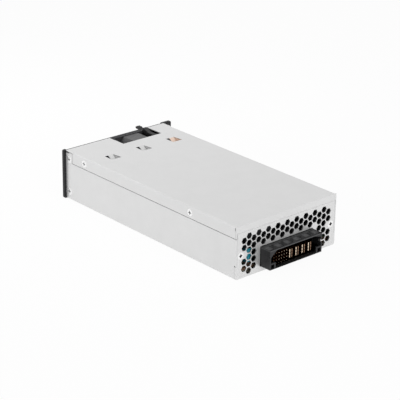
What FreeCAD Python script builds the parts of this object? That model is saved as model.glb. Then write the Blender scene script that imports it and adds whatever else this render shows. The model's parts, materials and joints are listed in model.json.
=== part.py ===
import FreeCAD, Part
import math
import os
import re
import Sketcher

# Hot swap server power supply, millimetres.
# +Y runs to the blind-mate connector, -Y to the bezel, +Z up.
# The origin is the middle of the case's base.

SIZES = {
    # case
    "bodyWidth": 100.5,
    "bodyLength": 200,
    "bodyHeight": 41,
    "traySheet": 1.0,
    "coverSheet": 0.8,
    "lapGap": 0.1,
    "seamGap": 0.4,
    "sheetGap": 0.3,
    "flangeDrop": 9.2,
    "lipDrop": 5.2,
    "earLength": 8.3,
    "bendRadius": 1.4,
    "cornerEar": 10.0,
    # vents
    "holePitch": 5.44,
    "holeWeb": 0.75,
    "ventDrop": 9.65,
    # screws and their nuts
    "screwRadius": 1.5,
    "headRadius": 2.85,
    "headDepth": 1.35,
    "headSink": 0.1,
    "screwLength": 3.7,
    "crossReach": 1.6,
    "crossHalf": 0.3,
    "crossDepth": 0.9,
    "threadGap": 0.05,
    "nutRadius": 2.9,
    "nutLength": 1.6,
    "coverScrewFront": 23.3,
    "coverScrewRear": 149.5,
    "coverScrewDrop": 5.1,
    "frontScrewInset": 3.9,
    "frontScrewDrop": 7.0,
    "frontScrewLow": 6.8,
    "rearScrewInset": 4.75,
    "rearScrewHeight": 17.7,
    "screwTab": 3.0,
    # cover openings
    "notchLatchGap": 1.95,
    "notchInletGap": 8.35,
    "notchDepth": 18.0,
    "lancePitch": 31.3,
    "lanceMiddle": -0.7,
    "lanceWidth": 9.4,
    "lanceLength": 9.2,
    "lanceStart": 30.8,
    "tongueLeft": 3.4,
    "tongueRight": 2.0,
    "tongueLength": 7.6,
    "tongueAngle": 30,
    "hemLength": 7.0,
    "hemStep": 0.15,
    # bezel
    "bezelThick": 2.6,
    "earLeft": 8.6,
    "earRight": 1.95,
    "bezelDip": 0.8,
    "bezelShoulder": 1.0,
    "bezelCorner": 1.4,
    # blind-mate connector
    "connWidth": 52.5,
    "connBottom": 4.2,
    "connHeight": 15.3,
    "connReach": 10.2,
    "connWall": 1.0,
    "connFloor": 1.9,
    "connInside": 17.0,
    "windowGap": 0.4,
    "tipRecess": 4.2,
    "pinStand": 1.2,
    "pinHeight": 10.6,
    "signalPitch": 2.54,
    "signalStart": 20.2,
    "signalSize": 0.7,
    "powerPitch": 6.35,
    "powerStart": 3.25,
    "bladeGap": 2.2,
    "bladeThick": 0.7,
    "bladeHeight": 6.8,
    "padPitch": 9.3,
    "padWidth": 5.4,
    "padLength": 6.0,
    "padDepth": 0.5,
    # inlet
    "inletShare": 0.3074,
    "inletDrop": 15.2,
    "inletWidth": 20,
    "inletHeight": 27,
    "inletDepth": 21,
    "inletFlange": 1.2,
    "inletLip": 0.1,
    "inletGap": 0.2,
    "socketWidth": 16.2,
    "socketHeight": 24,
    "socketDepth": 17,
    "inletBevel": 5.0,
    "prongWidth": 4,
    "prongThick": 2,
    "prongPitch": 7,
    "prongStagger": 2,
    "prongRecess": 3,
    "tabWidth": 4.8,
    "tabThick": 0.8,
    "tabLength": 4.5,
    "leadRadius": 1.2,
    "leadBend": 3.6,
    "sleeveLength": 6.5,
    # latch
    "latchInset": 20.85,
    "latchWidth": 3.8,
    "latchSetback": 22,
    "latchPivotDrop": 5.4,
    "latchDrop": 1.2,
    "latchThick": 2.4,
    "latchGap": 0.35,
    "latchTravel": 7.5,
    "tabStart": 1.9,
    "tabReach": 6.0,
    "tabRise": 1.2,
    "pressThick": 2.0,
    "catchRise": 2.2,
    "pivotRadius": 1.25,
    "runGap": 0.05,
    "bracketSheet": 1.0,
    "bracketDrop": 14,
    "springRadius": 1.5,
    "springWire": 0.45,
    "springTurns": 4,
    "springSetback": 11.5,
    # pull handle
    "handleInset": 8.85,
    "handleSpan": 29,
    "handleDrop": 19,
    "handleWire": 1.6,
    "handlePivotDrop": 15,
    "handleStand": 4.6,
    "handleBend": 5,
    "lugGap": 0.35,
    "lugWidth": 3.4,
    "lugRadius": 3.4,
    # fan
    "fanInset": 4.05,
    "fanClearance": 0.6,
    "fanDepth": 28,
    "fanWall": 0.9,
    "fanFlange": 3.6,
    "fanScrewEdge": 3.0,
    "fanScrewRadius": 1.6,
    "fanHeadRadius": 2.6,
    "fanHeadDepth": 1.4,
    "hubRadius": 9.6,
    "hubWall": 1.4,
    "hubPlate": 3.0,
    "spokeWidth": 1.6,
    "spokeThick": 2.4,
    "tipGap": 0.6,
    "bladeCount": 7,
    "fanBladeThick": 1.1,
    "rootAngle": 52,
    "tipAngle": 33,
    "shaftRadius": 1.5,
    "bearingRadius": 4,
    "bearingLength": 4,
    "postLength": 17,
    "statorRadius": 7.4,
    "statorLength": 9,
    "fanLeadRadius": 1.0,
    "fanLeadInset": 2.3,
    "fanLeadBend": 4.5,
    "plugTall": 5,
    # board
    "boardThick": 1.6,
    "boardTop": 5.2,
    "boardInset": 3.25,
    "boardFrontSetback": 34,
    "boardRearSetback": 3.8,
    "wingSetback": 7,
    "postRadius": 2.8,
    "postHeadRadius": 2.7,
    "postHeadTall": 1.9,
    "filmThick": 0.25,
    "filmMargin": 0.5,
    # chokes
    "chokeInset": 8.65,
    "chokeSetback": 25.2,
    "chokeRadius": 13.2,
    "chokeHole": 7.4,
    "chokeThick": 7.5,
    "chokeStand": 1.8,
    "chokeWire": 1.3,
    "chokeTurns": 9,
    "chokeFit": 0.2,
    "boostRadius": 13.9,
    "boostHole": 7.1,
    "boostThick": 11,
    "boostInset": 25.25,
    "boostSetback": 62,
    "boostStand": 2.0,
    "boostWire": 1.1,
    "boostTurns": 14,
    # parts on the board
    "boxCapLong": 18,
    "boxCapWide": 8,
    "boxCapTall": 15,
    "discRadius": 4,
    "discThick": 2.6,
    "legRadius": 0.4,
    "fuseRadius": 2.6,
    "fuseLength": 15,
    "fuseCap": 5,
    "bridgeWide": 24,
    "bridgeThick": 4,
    "bridgeTall": 17.5,
    "bulkRadius": 12.5,
    "bulkClearance": 2.0,
    "bulkInset": 20.25,
    "bulkPitch": 29,
    "outCapRadius": 4.0,
    "outCapHeight": 15.4,
    "busThick": 2.0,
    "busWidth": 8,
    "sinkInset": 19.25,
    "sinkClearance": 5,
    "sinkPlate": 3,
    "finThick": 1.4,
    "finReach": 9,
    "finPitch": 6,
    "packageWide": 10,
    "packagePitch": 14,
    "packageThick": 4.7,
    "packageTall": 15,
    "coreLong": 30,
    "coreWide": 28,
    "coreTall": 28,
    "coreYoke": 6,
    "coreLeg": 4.5,
    "coreMiddle": 10,
    "bobbinEnd": 5,
    "bobbinGap": 0.3,
    "outChokeLong": 20,
    "outChokeWide": 26,
    "outChokeTall": 20,
    "cardInset": 4.65,
    "cardThick": 1.6,
    "cardTall": 23.4,
    "headerTall": 2.5,
    "chipThick": 1.4,
    # status light
    "ledOffset": 10,
    "ledDrop": 4,
    "pipeRadius": 1.5,
    "pipeLength": 5,
}

doc = FreeCAD.newDocument("power_supply")
sheet = doc.addObject("Spreadsheet::Sheet", "Sizes")
for row, (alias, size) in enumerate(SIZES.items(), start=1):
    sheet.set("A%d" % row, alias)
    sheet.set("B%d" % row, str(size))
    sheet.setAlias("B%d" % row, alias)
doc.recompute()

aliasWords = re.compile(r"\b(" + "|".join(SIZES) + r")\b")
ORIGIN = FreeCAD.Vector(0, 0, 0)
ALONG = {axis: FreeCAD.Vector(*(float(axis == other) for other in "XYZ")) for axis in "XYZ"}
TURN = {
    "X": FreeCAD.Rotation(ALONG["Y"], 90),
    "Y": FreeCAD.Rotation(ALONG["X"], -90),
    "Z": FreeCAD.Rotation(),
}
nodes = []


def bound(text):
    """The expression text with each alias looked up in the sheet."""
    return aliasWords.sub(r"Sizes.\1", str(text))


def value(text):
    """The number that an expression over the sheet's sizes gives."""
    return float(sheet.evalExpression(bound(text)))


def spot(x, y, z):
    """A point from three expressions."""
    return FreeCAD.Vector(value(x), value(y), value(z))


def bind(thing, **sizes):
    for name, text in sizes.items():
        thing.setExpression(name, bound(text))


def locate(thing, x, y, z):
    for name, text in zip("xyz", (x, y, z)):
        thing.setExpression("Placement.Base." + name, bound(text))
    return thing


def node(label, thing):
    """Keep this object as the sub-part of that name."""
    thing.Label = label
    nodes.append(thing)
    return thing


def feature(name, shape):
    """An object for a shape that Part's own functions make."""
    thing = doc.addObject("Part::Feature", name)
    thing.Shape = shape
    return thing


def block(x, y, z):
    """A box between pairs of low and high expressions."""
    box = doc.addObject("Part::Box", "block")
    spans = ["(%s) - (%s)" % (high, low) for low, high in (x, y, z)]
    bind(box, Length=spans[0], Width=spans[1], Height=spans[2])
    return locate(box, x[0], y[0], z[0])


def around(centre, width):
    """The low and high expressions of a width about a centre."""
    return ("%s - (%s) / 2" % (centre, width), "%s + (%s) / 2" % (centre, width))


def rising(low, height):
    """The low and high expressions of a height that stands on a level."""
    return (low, "%s + (%s)" % (low, height))


def rod(axis, radius, length, x, y, z):
    """A cylinder that starts at a point and runs along an axis."""
    tube = doc.addObject("Part::Cylinder", "rod")
    tube.Placement.Rotation = TURN[axis]
    bind(tube, Radius=radius, Height=length)
    return locate(tube, x, y, z)


def taper(axis, radius, farRadius, length, x, y, z):
    """A cone from one radius to another along an axis."""
    cone = doc.addObject("Part::Cone", "taper")
    cone.Placement.Rotation = TURN[axis]
    bind(cone, Radius1=radius, Radius2=farRadius, Height=length)
    return locate(cone, x, y, z)


def hexagon(axis, radius, length, x, y, z):
    """A six-sided bar that starts at a point and runs along an axis."""
    bar = doc.addObject("Part::Prism", "hexagon")
    bar.Polygon = 6
    bar.Placement.Rotation = TURN[axis]
    bind(bar, Circumradius=radius, Height=length)
    return locate(bar, x, y, z)


def group(things):
    """Several separate solids as one object."""
    pack = doc.addObject("Part::Compound", "group")
    pack.Links = things
    return pack


def fuse(*things):
    whole = doc.addObject("Part::MultiFuse", "fuse")
    whole.Shapes = list(things)
    whole.Refine = True
    return whole


def cut(base, *tools):
    whole = doc.addObject("Part::Cut", "cut")
    whole.Base = base
    whole.Tool = tools[0] if len(tools) == 1 else fuse(*tools)
    return whole


def common(first, second):
    """What two objects share."""
    shared = doc.addObject("Part::Common", "common")
    shared.Base = first
    shared.Tool = second
    return shared


def profile(plane, outline, low, high):
    """A body whose sketched outline is padded from low to high across its plane."""
    body = doc.addObject("PartDesign::Body", "body")
    sketch = body.newObject("Sketcher::SketchObject", "sketch")
    role = plane + "_Plane"
    sketch.AttachmentSupport = [(f, "") for f in body.Origin.OriginFeatures if f.Role == role]
    sketch.MapMode = "FlatFace"
    count = len(outline)
    for i in range(count):
        turn = 2 * math.pi / count
        ends = [FreeCAD.Vector(math.cos(k * turn), math.sin(k * turn), 0) for k in (i, i + 1)]
        sketch.addGeometry(Part.LineSegment(*ends), False)
    for i in range(count):
        sketch.addConstraint(Sketcher.Constraint("Coincident", i, 2, (i + 1) % count, 1))
    for i, point in enumerate(outline):
        for kind, text in zip(("DistanceX", "DistanceY"), point):
            key = sketch.addConstraint(Sketcher.Constraint(kind, -1, 1, i, 1, 1.0))
            sketch.setExpression("Constraints[%d]" % key, bound(text))
    pad = body.newObject("PartDesign::Pad", "pad")
    pad.Profile = sketch
    bind(pad, Length="(%s) - (%s)" % (high, low))
    shift = {"XY": ("0", "0", low), "XZ": ("0", high, "0"), "YZ": (low, "0", "0")}[plane]
    return locate(body, *shift)


def alongAxis(edge, axis, *spots):
    """True for a straight edge along an axis whose other coordinates match a spot."""
    ends = [vertex.Point for vertex in edge.Vertexes]
    if len(ends) != 2:
        return False
    others = [i for i in range(3) if i != axis]
    if any(abs(ends[0][i] - ends[1][i]) > 1e-6 for i in others):
        return False
    return any(all(abs(ends[0][i] - spot[n]) < 1e-4 for n, i in enumerate(others)) for spot in spots)


def soften(body, alias, *corners):
    """Round the edges of a padded body that run along Y at the given X and Z expressions."""
    doc.recompute()
    tip = body.Tip
    spots = [[value(text) for text in corner] for corner in corners]
    edges = [i for i, edge in enumerate(tip.Shape.Edges, start=1) if alongAxis(edge, 1, *spots)]
    round_ = body.newObject("PartDesign::Fillet", "round")
    round_.Base = (tip, ["Edge%d" % i for i in edges])
    bind(round_, Radius=alias)
    return body


def both(maker):
    """One piece made for each side: maker gets the sign of X."""
    return [maker(sign) for sign in (1, -1)]


def spanX(sign, inner, outer):
    """The low and high X of a piece between two distances from the middle, on one side."""
    if sign > 0:
        return (inner, outer)
    return ("-(%s)" % outer, "-(%s)" % inner)


def inward(piece, sign):
    """Turn a piece that starts at a side face so that it runs towards the middle."""
    piece.Placement.Rotation = FreeCAD.Rotation(ALONG["Y"], -90 * sign)
    return piece


def onSide(sign, distance):
    """The X of a place at a distance from the middle, on one side."""
    return distance if sign > 0 else "-(%s)" % distance


# ---- places that several pieces share

FRONT = "-bodyLength / 2"
REAR = "bodyLength / 2"
SIDE = "bodyWidth / 2"
WALL_TOP = "bodyHeight - flangeDrop - seamGap"
COVER_UNDER = "bodyHeight - coverSheet"
PANEL_TOP = "bodyHeight - coverSheet - sheetGap"
JOGGLE_IN = "bodyWidth / 2 - traySheet - coverSheet - lapGap"
PANEL_SIDE = "bodyWidth / 2 - traySheet - lapGap"
FACE = "-bodyLength / 2 - bezelThick"

SCREW_HOLE = "screwRadius + threadGap"
HEAD_HOLE = "headRadius + threadGap"
COVER_SCREWS = ["-bodyLength / 2 + coverScrewFront", "-bodyLength / 2 + coverScrewRear"]
COVER_SCREW_Z = "bodyHeight - coverScrewDrop"
FRONT_SCREW_Y = "-bodyLength / 2 + frontScrewInset"
FRONT_SCREWS = ["bodyHeight - frontScrewDrop", "frontScrewLow"]
REAR_SCREW_X = "bodyWidth / 2 - rearScrewInset"

VENT_TOP = "bodyHeight - ventDrop"
VENT_REACH = "(holePitch - holeWeb) / sqrt(3)"
CONN_TOP = "connBottom + connHeight"
CONN_FRONT = "bodyLength / 2 - connInside"
MOUTH = "bodyLength / 2 + connReach"
PIN_TIP = "bodyLength / 2 + connReach - tipRecess"
PIN_BASE = "bodyLength / 2 + pinStand"

LATCH_X = "(-bodyWidth / 2 + latchInset)"
LATCH_TOP = "bodyHeight - latchDrop"
PIVOT_Y = "-bodyLength / 2 + latchSetback"
PIVOT_Z = "bodyHeight - latchPivotDrop"
BRACKET_FLOOR = "bodyHeight - bracketDrop"
SPRING_Y = "-bodyLength / 2 + springSetback"
HANDLE_X = "(-bodyWidth / 2 + handleInset)"
HANDLE_Y = "-bodyLength / 2 - bezelThick - handleStand"
HANDLE_Z = "bodyHeight - handlePivotDrop"
FAN_SIZE = "(bodyHeight - coverSheet - traySheet - 2 * fanClearance)"
FAN_X = "(bodyWidth / 2 - fanInset - %s / 2)" % FAN_SIZE
FAN_Z = "traySheet + fanClearance + %s / 2" % FAN_SIZE
FAN_FRONT = "-bodyLength / 2 + traySheet"
FAN_HUB = "-bodyLength / 2 + traySheet + fanDepth - hubPlate"
BORE = "%s / 2 - fanWall" % FAN_SIZE
INLET_X = "(%s + inletShare * (%s - %s))" % (LATCH_X, FAN_X, LATCH_X)
INLET_Z = "bodyHeight - inletDrop"
INLET_RIGHT = "%s + inletWidth / 2" % INLET_X
LED_X = "%s - ledOffset" % LATCH_X
LED_Z = "bodyHeight - latchPivotDrop - ledDrop"

BOARD_UNDER = "boardTop - boardThick"
BOARD_SIDE = "bodyWidth / 2 - boardInset"
BOARD_FRONT = "-bodyLength / 2 + boardFrontSetback"
BOARD_REAR = "bodyLength / 2 - boardRearSetback"
WING_FRONT = "-bodyLength / 2 + wingSetback"
WING_RIGHT = INLET_RIGHT + " + 5"
SINK_X = "(bodyWidth / 2 - sinkInset)"


def sideCountersinks(y, z):
    """Seats on both sides for countersunk screws that lie just under the face."""
    cuts = []
    for sign in (1, -1):
        outer, sunk, face = [onSide(sign, SIDE + more) for more in (" + 1", " - headSink", "")]
        cuts.append(inward(rod("X", HEAD_HOLE, "1 + headSink", outer, y, z), sign))
        cuts.append(inward(taper("X", HEAD_HOLE, SCREW_HOLE, "headDepth", sunk, y, z), sign))
        cuts.append(inward(rod("X", SCREW_HOLE, "screwLength + 2", face, y, z), sign))
    return cuts


# ---- sheet metal

def chassisTray():
    wall = profile("XZ", [
        ("-" + SIDE, "0"), (SIDE, "0"),
        (SIDE, WALL_TOP), (SIDE + " - traySheet", WALL_TOP),
        (SIDE + " - traySheet", "traySheet"), ("-" + SIDE + " + traySheet", "traySheet"),
        ("-" + SIDE + " + traySheet", WALL_TOP), ("-" + SIDE, WALL_TOP),
    ], FRONT, REAR)
    soften(wall, "bendRadius", (SIDE, "0"), ("-" + SIDE, "0"))
    lows = WALL_TOP + " - traySheet"
    joggles = []
    for sign in ("", "-"):
        joggles.append(profile("XZ", [
            (sign + "(%s)" % SIDE, lows), (sign + "(%s)" % SIDE, WALL_TOP),
            (sign + "(%s - coverSheet - lapGap)" % SIDE, WALL_TOP),
            (sign + "(%s - coverSheet - lapGap)" % SIDE, PANEL_TOP),
            (sign + "(%s)" % JOGGLE_IN, PANEL_TOP), (sign + "(%s)" % JOGGLE_IN, lows),
        ], FRONT + " + earLength + 2 * sheetGap", REAR + " - traySheet * 2 - lapGap"))
    ears = both(lambda sign: block(spanX(sign, SIDE + " - traySheet", SIDE),
                                   (FRONT, FRONT + " + earLength - seamGap"),
                                   (lows, COVER_UNDER + " - seamGap")))
    tabs = both(lambda sign: block(spanX(sign, REAR_SCREW_X + " - screwTab", SIDE + " - traySheet / 2"),
                                   (REAR + " - traySheet * 2", REAR + " - traySheet"),
                                   ("rearScrewHeight - screwTab", "rearScrewHeight + screwTab")))
    solid = fuse(wall, *joggles, *ears, *tabs)
    corners = both(lambda sign: block(spanX(sign, SIDE + " - traySheet - 0.5", SIDE + " + 1"),
                                      (REAR + " - traySheet - lapGap", REAR + " + 1"),
                                      ("traySheet", "cornerEar + lapGap")))
    reliefs = both(lambda sign: rod("X", "traySheet * 0.6", "traySheet + 2",
                                    (SIDE + " - traySheet - 1" if sign > 0 else "-%s - 1" % SIDE),
                                    REAR + " - traySheet - 0.2", "cornerEar + 0.4"))
    tabHoles = []
    for sign in (1, -1):
        x = onSide(sign, REAR_SCREW_X)
        tabHoles.append(rod("Y", SCREW_HOLE, "4", x, REAR + " - 4", "rearScrewHeight"))
        tabHoles.append(taper("Y", SCREW_HOLE, HEAD_HOLE, "headDepth", x, REAR + " - headSink - headDepth",
                              "rearScrewHeight"))
    seats = []
    for y in COVER_SCREWS:
        seats += sideCountersinks(y, COVER_SCREW_Z)
    for z in FRONT_SCREWS:
        seats += sideCountersinks(FRONT_SCREW_Y, z)
    node("chassis_tray", cut(solid, *corners, *reliefs, *tabHoles, *seats))


def lancedTongue(centre):
    """A tongue bent down from the cover, with a web that closes its -X side."""
    root = FRONT + " + lanceStart"
    run = "tongueLength * cos(tongueAngle * 1deg)"
    drop = "tongueLength * sin(tongueAngle * 1deg)"
    tip = root + " + " + run
    under = "bodyHeight - %s - coverSheet" % drop
    left = "%s - tongueLeft" % centre
    edge = "%s - lanceWidth / 2" % centre
    plan = profile("XY", [
        (left, root + " - 0.5"), (centre + " + tongueRight", root + " - 0.5"),
        (centre + " + tongueRight", tip), (edge, tip), (left, root),
    ], under + " - 1", "bodyHeight")
    side = profile("YZ", [
        (root + " - 0.5", COVER_UNDER), (root + " - 0.5", "bodyHeight"), (root, "bodyHeight"),
        (tip, "bodyHeight - " + drop), (tip, under), (root, COVER_UNDER),
    ], edge + " - 1", centre + " + tongueRight + 1")
    webPlan = profile("XY", [
        (left, root), (edge, tip), (edge + " - coverSheet", tip), (left + " - coverSheet", root),
    ], under + " - 1", "bodyHeight")
    webSide = profile("YZ", [
        (root, COVER_UNDER), (root, "bodyHeight"), (tip, "bodyHeight"), (tip, under),
    ], edge + " - 1.5", left + " + 1")
    return [common(plan, side), common(webPlan, webSide)]


def topCover():
    top = profile("XZ", [
        ("-" + SIDE, "bodyHeight - flangeDrop"), ("-" + SIDE, "bodyHeight"),
        (SIDE, "bodyHeight"), (SIDE, "bodyHeight - flangeDrop"),
        (SIDE + " - coverSheet", "bodyHeight - flangeDrop"), (SIDE + " - coverSheet", COVER_UNDER),
        ("-" + SIDE + " + coverSheet", COVER_UNDER),
        ("-" + SIDE + " + coverSheet", "bodyHeight - flangeDrop"),
    ], FRONT + " + earLength", REAR)
    soften(top, "bendRadius", (SIDE, "bodyHeight"), ("-" + SIDE, "bodyHeight"))
    hood = profile("XZ", [
        ("-" + SIDE, COVER_UNDER), ("-" + SIDE, "bodyHeight"), (SIDE, "bodyHeight"), (SIDE, COVER_UNDER),
    ], FRONT, FRONT + " + earLength + 1")
    lip = block(("-" + SIDE, SIDE), (REAR + " - coverSheet", REAR), ("bodyHeight - lipDrop", "bodyHeight"))
    notch = block(("%s - latchWidth / 2 - notchLatchGap" % LATCH_X, INLET_RIGHT + " + notchInletGap"),
                  (FRONT + " - 1", FRONT + " + notchDepth"), ("bodyHeight - flangeDrop", "bodyHeight + 1"))
    hem = block(("-" + SIDE + " - 1", SIDE + " + 1"), (FRONT + " - 1", FRONT + " + hemLength"),
                ("bodyHeight - hemStep", "bodyHeight + 1"))
    windows = []
    tongues = []
    for index in (-1, 0, 1):
        centre = "(lanceMiddle + %d * lancePitch)" % index
        root, end = FRONT + " + lanceStart", FRONT + " + lanceStart + lanceLength"
        windows.append(profile("XY", [
            (centre + " - tongueLeft", root), (centre + " + lanceWidth / 2", root),
            (centre + " + lanceWidth / 2", end), (centre + " - lanceWidth / 2", end),
        ], "bodyHeight - flangeDrop / 2", "bodyHeight + 1"))
        tongues += lancedTongue(centre)
    slits = both(lambda sign: block(spanX(sign, SIDE + " - coverSheet", SIDE + " + 1"),
                                    (REAR + " - coverSheet - hemStep", REAR + " - coverSheet"),
                                    ("bodyHeight - flangeDrop - 1", COVER_UNDER)))
    reliefs = both(lambda sign: block(spanX(sign, SIDE + " - coverSheet", SIDE + " + 1"),
                                      (REAR + " - coverSheet - 0.7", REAR + " - coverSheet"),
                                      ("bodyHeight - 3", COVER_UNDER)))
    seats = []
    for y in COVER_SCREWS:
        seats += sideCountersinks(y, COVER_SCREW_Z)
    shell = cut(fuse(top, hood, lip), notch, hem, *windows, *slits, *reliefs, *seats)
    node("top_cover", fuse(shell, *tongues))


def ventHoles(sheetY, places):
    """Hexagonal holes through a sheet, at X and Z expressions."""
    return [hexagon("Y", VENT_REACH, "traySheet + 2", x, sheetY + " - 1", z) for x, z in places]


def rearVentPlaces():
    """Every lattice place that clears the connector, the screws and the panel's edges."""
    pitch = value("holePitch")
    across = pitch * math.sqrt(3) / 2
    reach = value(VENT_REACH)
    windowX = value("connWidth / 2")
    windowZ = value(CONN_TOP)
    screwX = value(REAR_SCREW_X)
    top = value(VENT_TOP)
    columns = int(value(SIDE + " - traySheet * 5") // across)
    places = []
    for k in range(-columns, columns + 1):
        lift = 0.5 * (k % 2)
        for j in range(int(top // pitch) + 1):
            x = abs(k * across)
            z = top - pitch * (j + lift)
            nearWindow = math.hypot(max(0, x - windowX), max(0, z - windowZ)) < reach + 0.2
            nearScrew = math.hypot(x - screwX, z - value("rearScrewHeight")) < pitch
            if z - pitch / 2 > value("traySheet") and not nearWindow and not nearScrew:
                places.append(("%d * holePitch * sqrt(3) / 2" % k,
                               "%s - holePitch * %g" % (VENT_TOP, j + lift)))
    return places


def rearPanel():
    joggleY = REAR + " - coverSheet - lapGap"
    shelf = "bodyHeight - lipDrop - lapGap"
    panel = profile("YZ", [
        (REAR, "traySheet"), (REAR, shelf), (joggleY, shelf), (joggleY, PANEL_TOP),
        (joggleY + " - traySheet", PANEL_TOP), (joggleY + " - traySheet", shelf + " - traySheet"),
        (REAR + " - traySheet", shelf + " - traySheet"), (REAR + " - traySheet", "traySheet"),
    ], "-(%s)" % PANEL_SIDE, PANEL_SIDE)
    ears = both(lambda sign: block(spanX(sign, SIDE + " - traySheet - 1", SIDE),
                                   (REAR + " - traySheet", REAR), ("traySheet", "cornerEar")))
    window = block(("-connWidth / 2 - windowGap", "connWidth / 2 + windowGap"),
                   (REAR + " - 3", REAR + " + 1"),
                   ("connBottom - windowGap", CONN_TOP + " + windowGap"))
    seats = []
    for sign in (1, -1):
        x = onSide(sign, REAR_SCREW_X)
        seats.append(rod("Y", HEAD_HOLE, "headSink + 1", x, REAR + " - headSink", "rearScrewHeight"))
        seats.append(taper("Y", SCREW_HOLE, HEAD_HOLE, "headDepth", x, REAR + " - headSink - headDepth",
                           "rearScrewHeight"))
        seats.append(rod("Y", SCREW_HOLE, "headDepth + 2", x, REAR + " - headDepth - 1", "rearScrewHeight"))
    holes = group(ventHoles(REAR + " - traySheet", rearVentPlaces()))
    node("rear_panel", cut(cut(fuse(panel, *ears), window, *seats), holes))


def frontVentPlaces():
    """Lattice places inside the fan's circle."""
    pitch = value("holePitch")
    across = pitch * math.sqrt(3) / 2
    limit = value(BORE) - pitch / 2
    reach = int(limit // across) + 1
    places = []
    for k in range(-reach, reach + 1):
        lift = 0.5 * (k % 2)
        for j in range(-reach, reach + 1):
            if math.hypot(k * across, (j + lift) * pitch) < limit:
                places.append(("%s + %d * holePitch * sqrt(3) / 2" % (FAN_X, k),
                               "%s + holePitch * %g" % (FAN_Z, j + lift)))
    return places


def fanCorners(maker):
    """One piece at each of the fan's four screw places."""
    away = "(%s / 2 - fanScrewEdge)" % FAN_SIZE
    return [maker("%s %s %s" % (FAN_X, a, away), "%s %s %s" % (FAN_Z, b, away)) for a in "+-" for b in "+-"]


def frontPanel():
    face = block(("-(%s)" % PANEL_SIDE, PANEL_SIDE), rising(FRONT, "traySheet"), ("traySheet", PANEL_TOP))
    flanges = both(lambda sign: block(spanX(sign, PANEL_SIDE + " - traySheet", PANEL_SIDE),
                                      (FRONT, FRONT + " + earLength"),
                                      ("traySheet * 1.6", PANEL_TOP + " - 1.1")))
    inlet = block(around(INLET_X, "inletWidth + 2 * lapGap"), (FRONT + " - 1", FRONT + " + 2"),
                  around(INLET_Z, "inletHeight + 2 * lapGap"))
    slot = block(around(LATCH_X, "latchWidth + 4 * latchGap"), (FRONT + " - 1", FRONT + " + 2"),
                 (LATCH_TOP + " - latchTravel", "bodyHeight + 1"))
    lightHole = rod("Y", "pipeRadius + latchGap", "4", LED_X, FRONT + " - 1", LED_Z)
    fanHoles = fanCorners(lambda x, z: rod("Y", "fanScrewRadius + lapGap", "4", x, FRONT + " - 1", z))
    seats = []
    for z in FRONT_SCREWS:
        seats += sideCountersinks(FRONT_SCREW_Y, z)
    holes = group(ventHoles(FRONT, frontVentPlaces()))
    solid = cut(fuse(face, *flanges), inlet, slot, lightHole, *fanHoles, *seats)
    node("front_panel", cut(solid, holes))


# ---- fasteners

def crossRecess(maker):
    """The two slots of a cross recess: maker gets half their widths."""
    return [maker(*halves) for halves in (("crossReach", "crossHalf"), ("crossHalf", "crossReach"))]


def sideScrews(label, places):
    """Countersunk screws driven inwards on both sides."""
    screws = []
    for y, z in places:
        for sign in (1, -1):
            top = onSide(sign, SIDE + " - headSink")
            head = inward(taper("X", "headRadius", "screwRadius", "headDepth", top, y, z), sign)
            shank = inward(rod("X", "screwRadius", "screwLength", top, y, z), sign)
            slots = crossRecess(lambda wide, tall: block(
                spanX(sign, SIDE + " - crossDepth", SIDE + " + 1"),
                around(y, "2 * " + wide), around(z, "2 * " + tall)))
            screws.append(cut(fuse(head, shank), *slots))
    node(label, group(screws))


def screwsAndNuts():
    sideScrews("cover_screws", [(y, COVER_SCREW_Z) for y in COVER_SCREWS])
    sideScrews("front_screws", [(FRONT_SCREW_Y, z) for z in FRONT_SCREWS])
    rears = []
    nuts = []
    for sign in (1, -1):
        x = onSide(sign, REAR_SCREW_X)
        head = taper("Y", "screwRadius", "headRadius", "headDepth", x, REAR + " - headSink - headDepth",
                     "rearScrewHeight")
        shank = rod("Y", "screwRadius", "screwLength", x, REAR + " - headSink - screwLength",
                    "rearScrewHeight")
        slots = crossRecess(lambda wide, tall: block(
            around(x, "2 * " + wide), (REAR + " - crossDepth", REAR + " + 1"),
            around("rearScrewHeight", "2 * " + tall)))
        rears.append(cut(fuse(head, shank), *slots))
        nutY = REAR + " - traySheet * 2 - nutLength"
        nuts.append(cut(rod("Y", "nutRadius", "nutLength", x, nutY, "rearScrewHeight"),
                        rod("Y", SCREW_HOLE, "nutLength + 2", x, nutY + " - 1", "rearScrewHeight")))
    node("rear_screws", group(rears))
    seats = [(JOGGLE_IN, y, COVER_SCREW_Z) for y in COVER_SCREWS]
    seats += [(PANEL_SIDE + " - traySheet", FRONT_SCREW_Y, z) for z in FRONT_SCREWS]
    for face, y, z in seats:
        for sign in (1, -1):
            ring = inward(rod("X", "nutRadius", "nutLength", onSide(sign, face), y, z), sign)
            bore = inward(rod("X", SCREW_HOLE, "nutLength + 2", onSide(sign, face + " + 1"), y, z), sign)
            nuts.append(cut(ring, bore))
    node("clinch_nuts", group(nuts))


# ---- bezel, handle and latch

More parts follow.
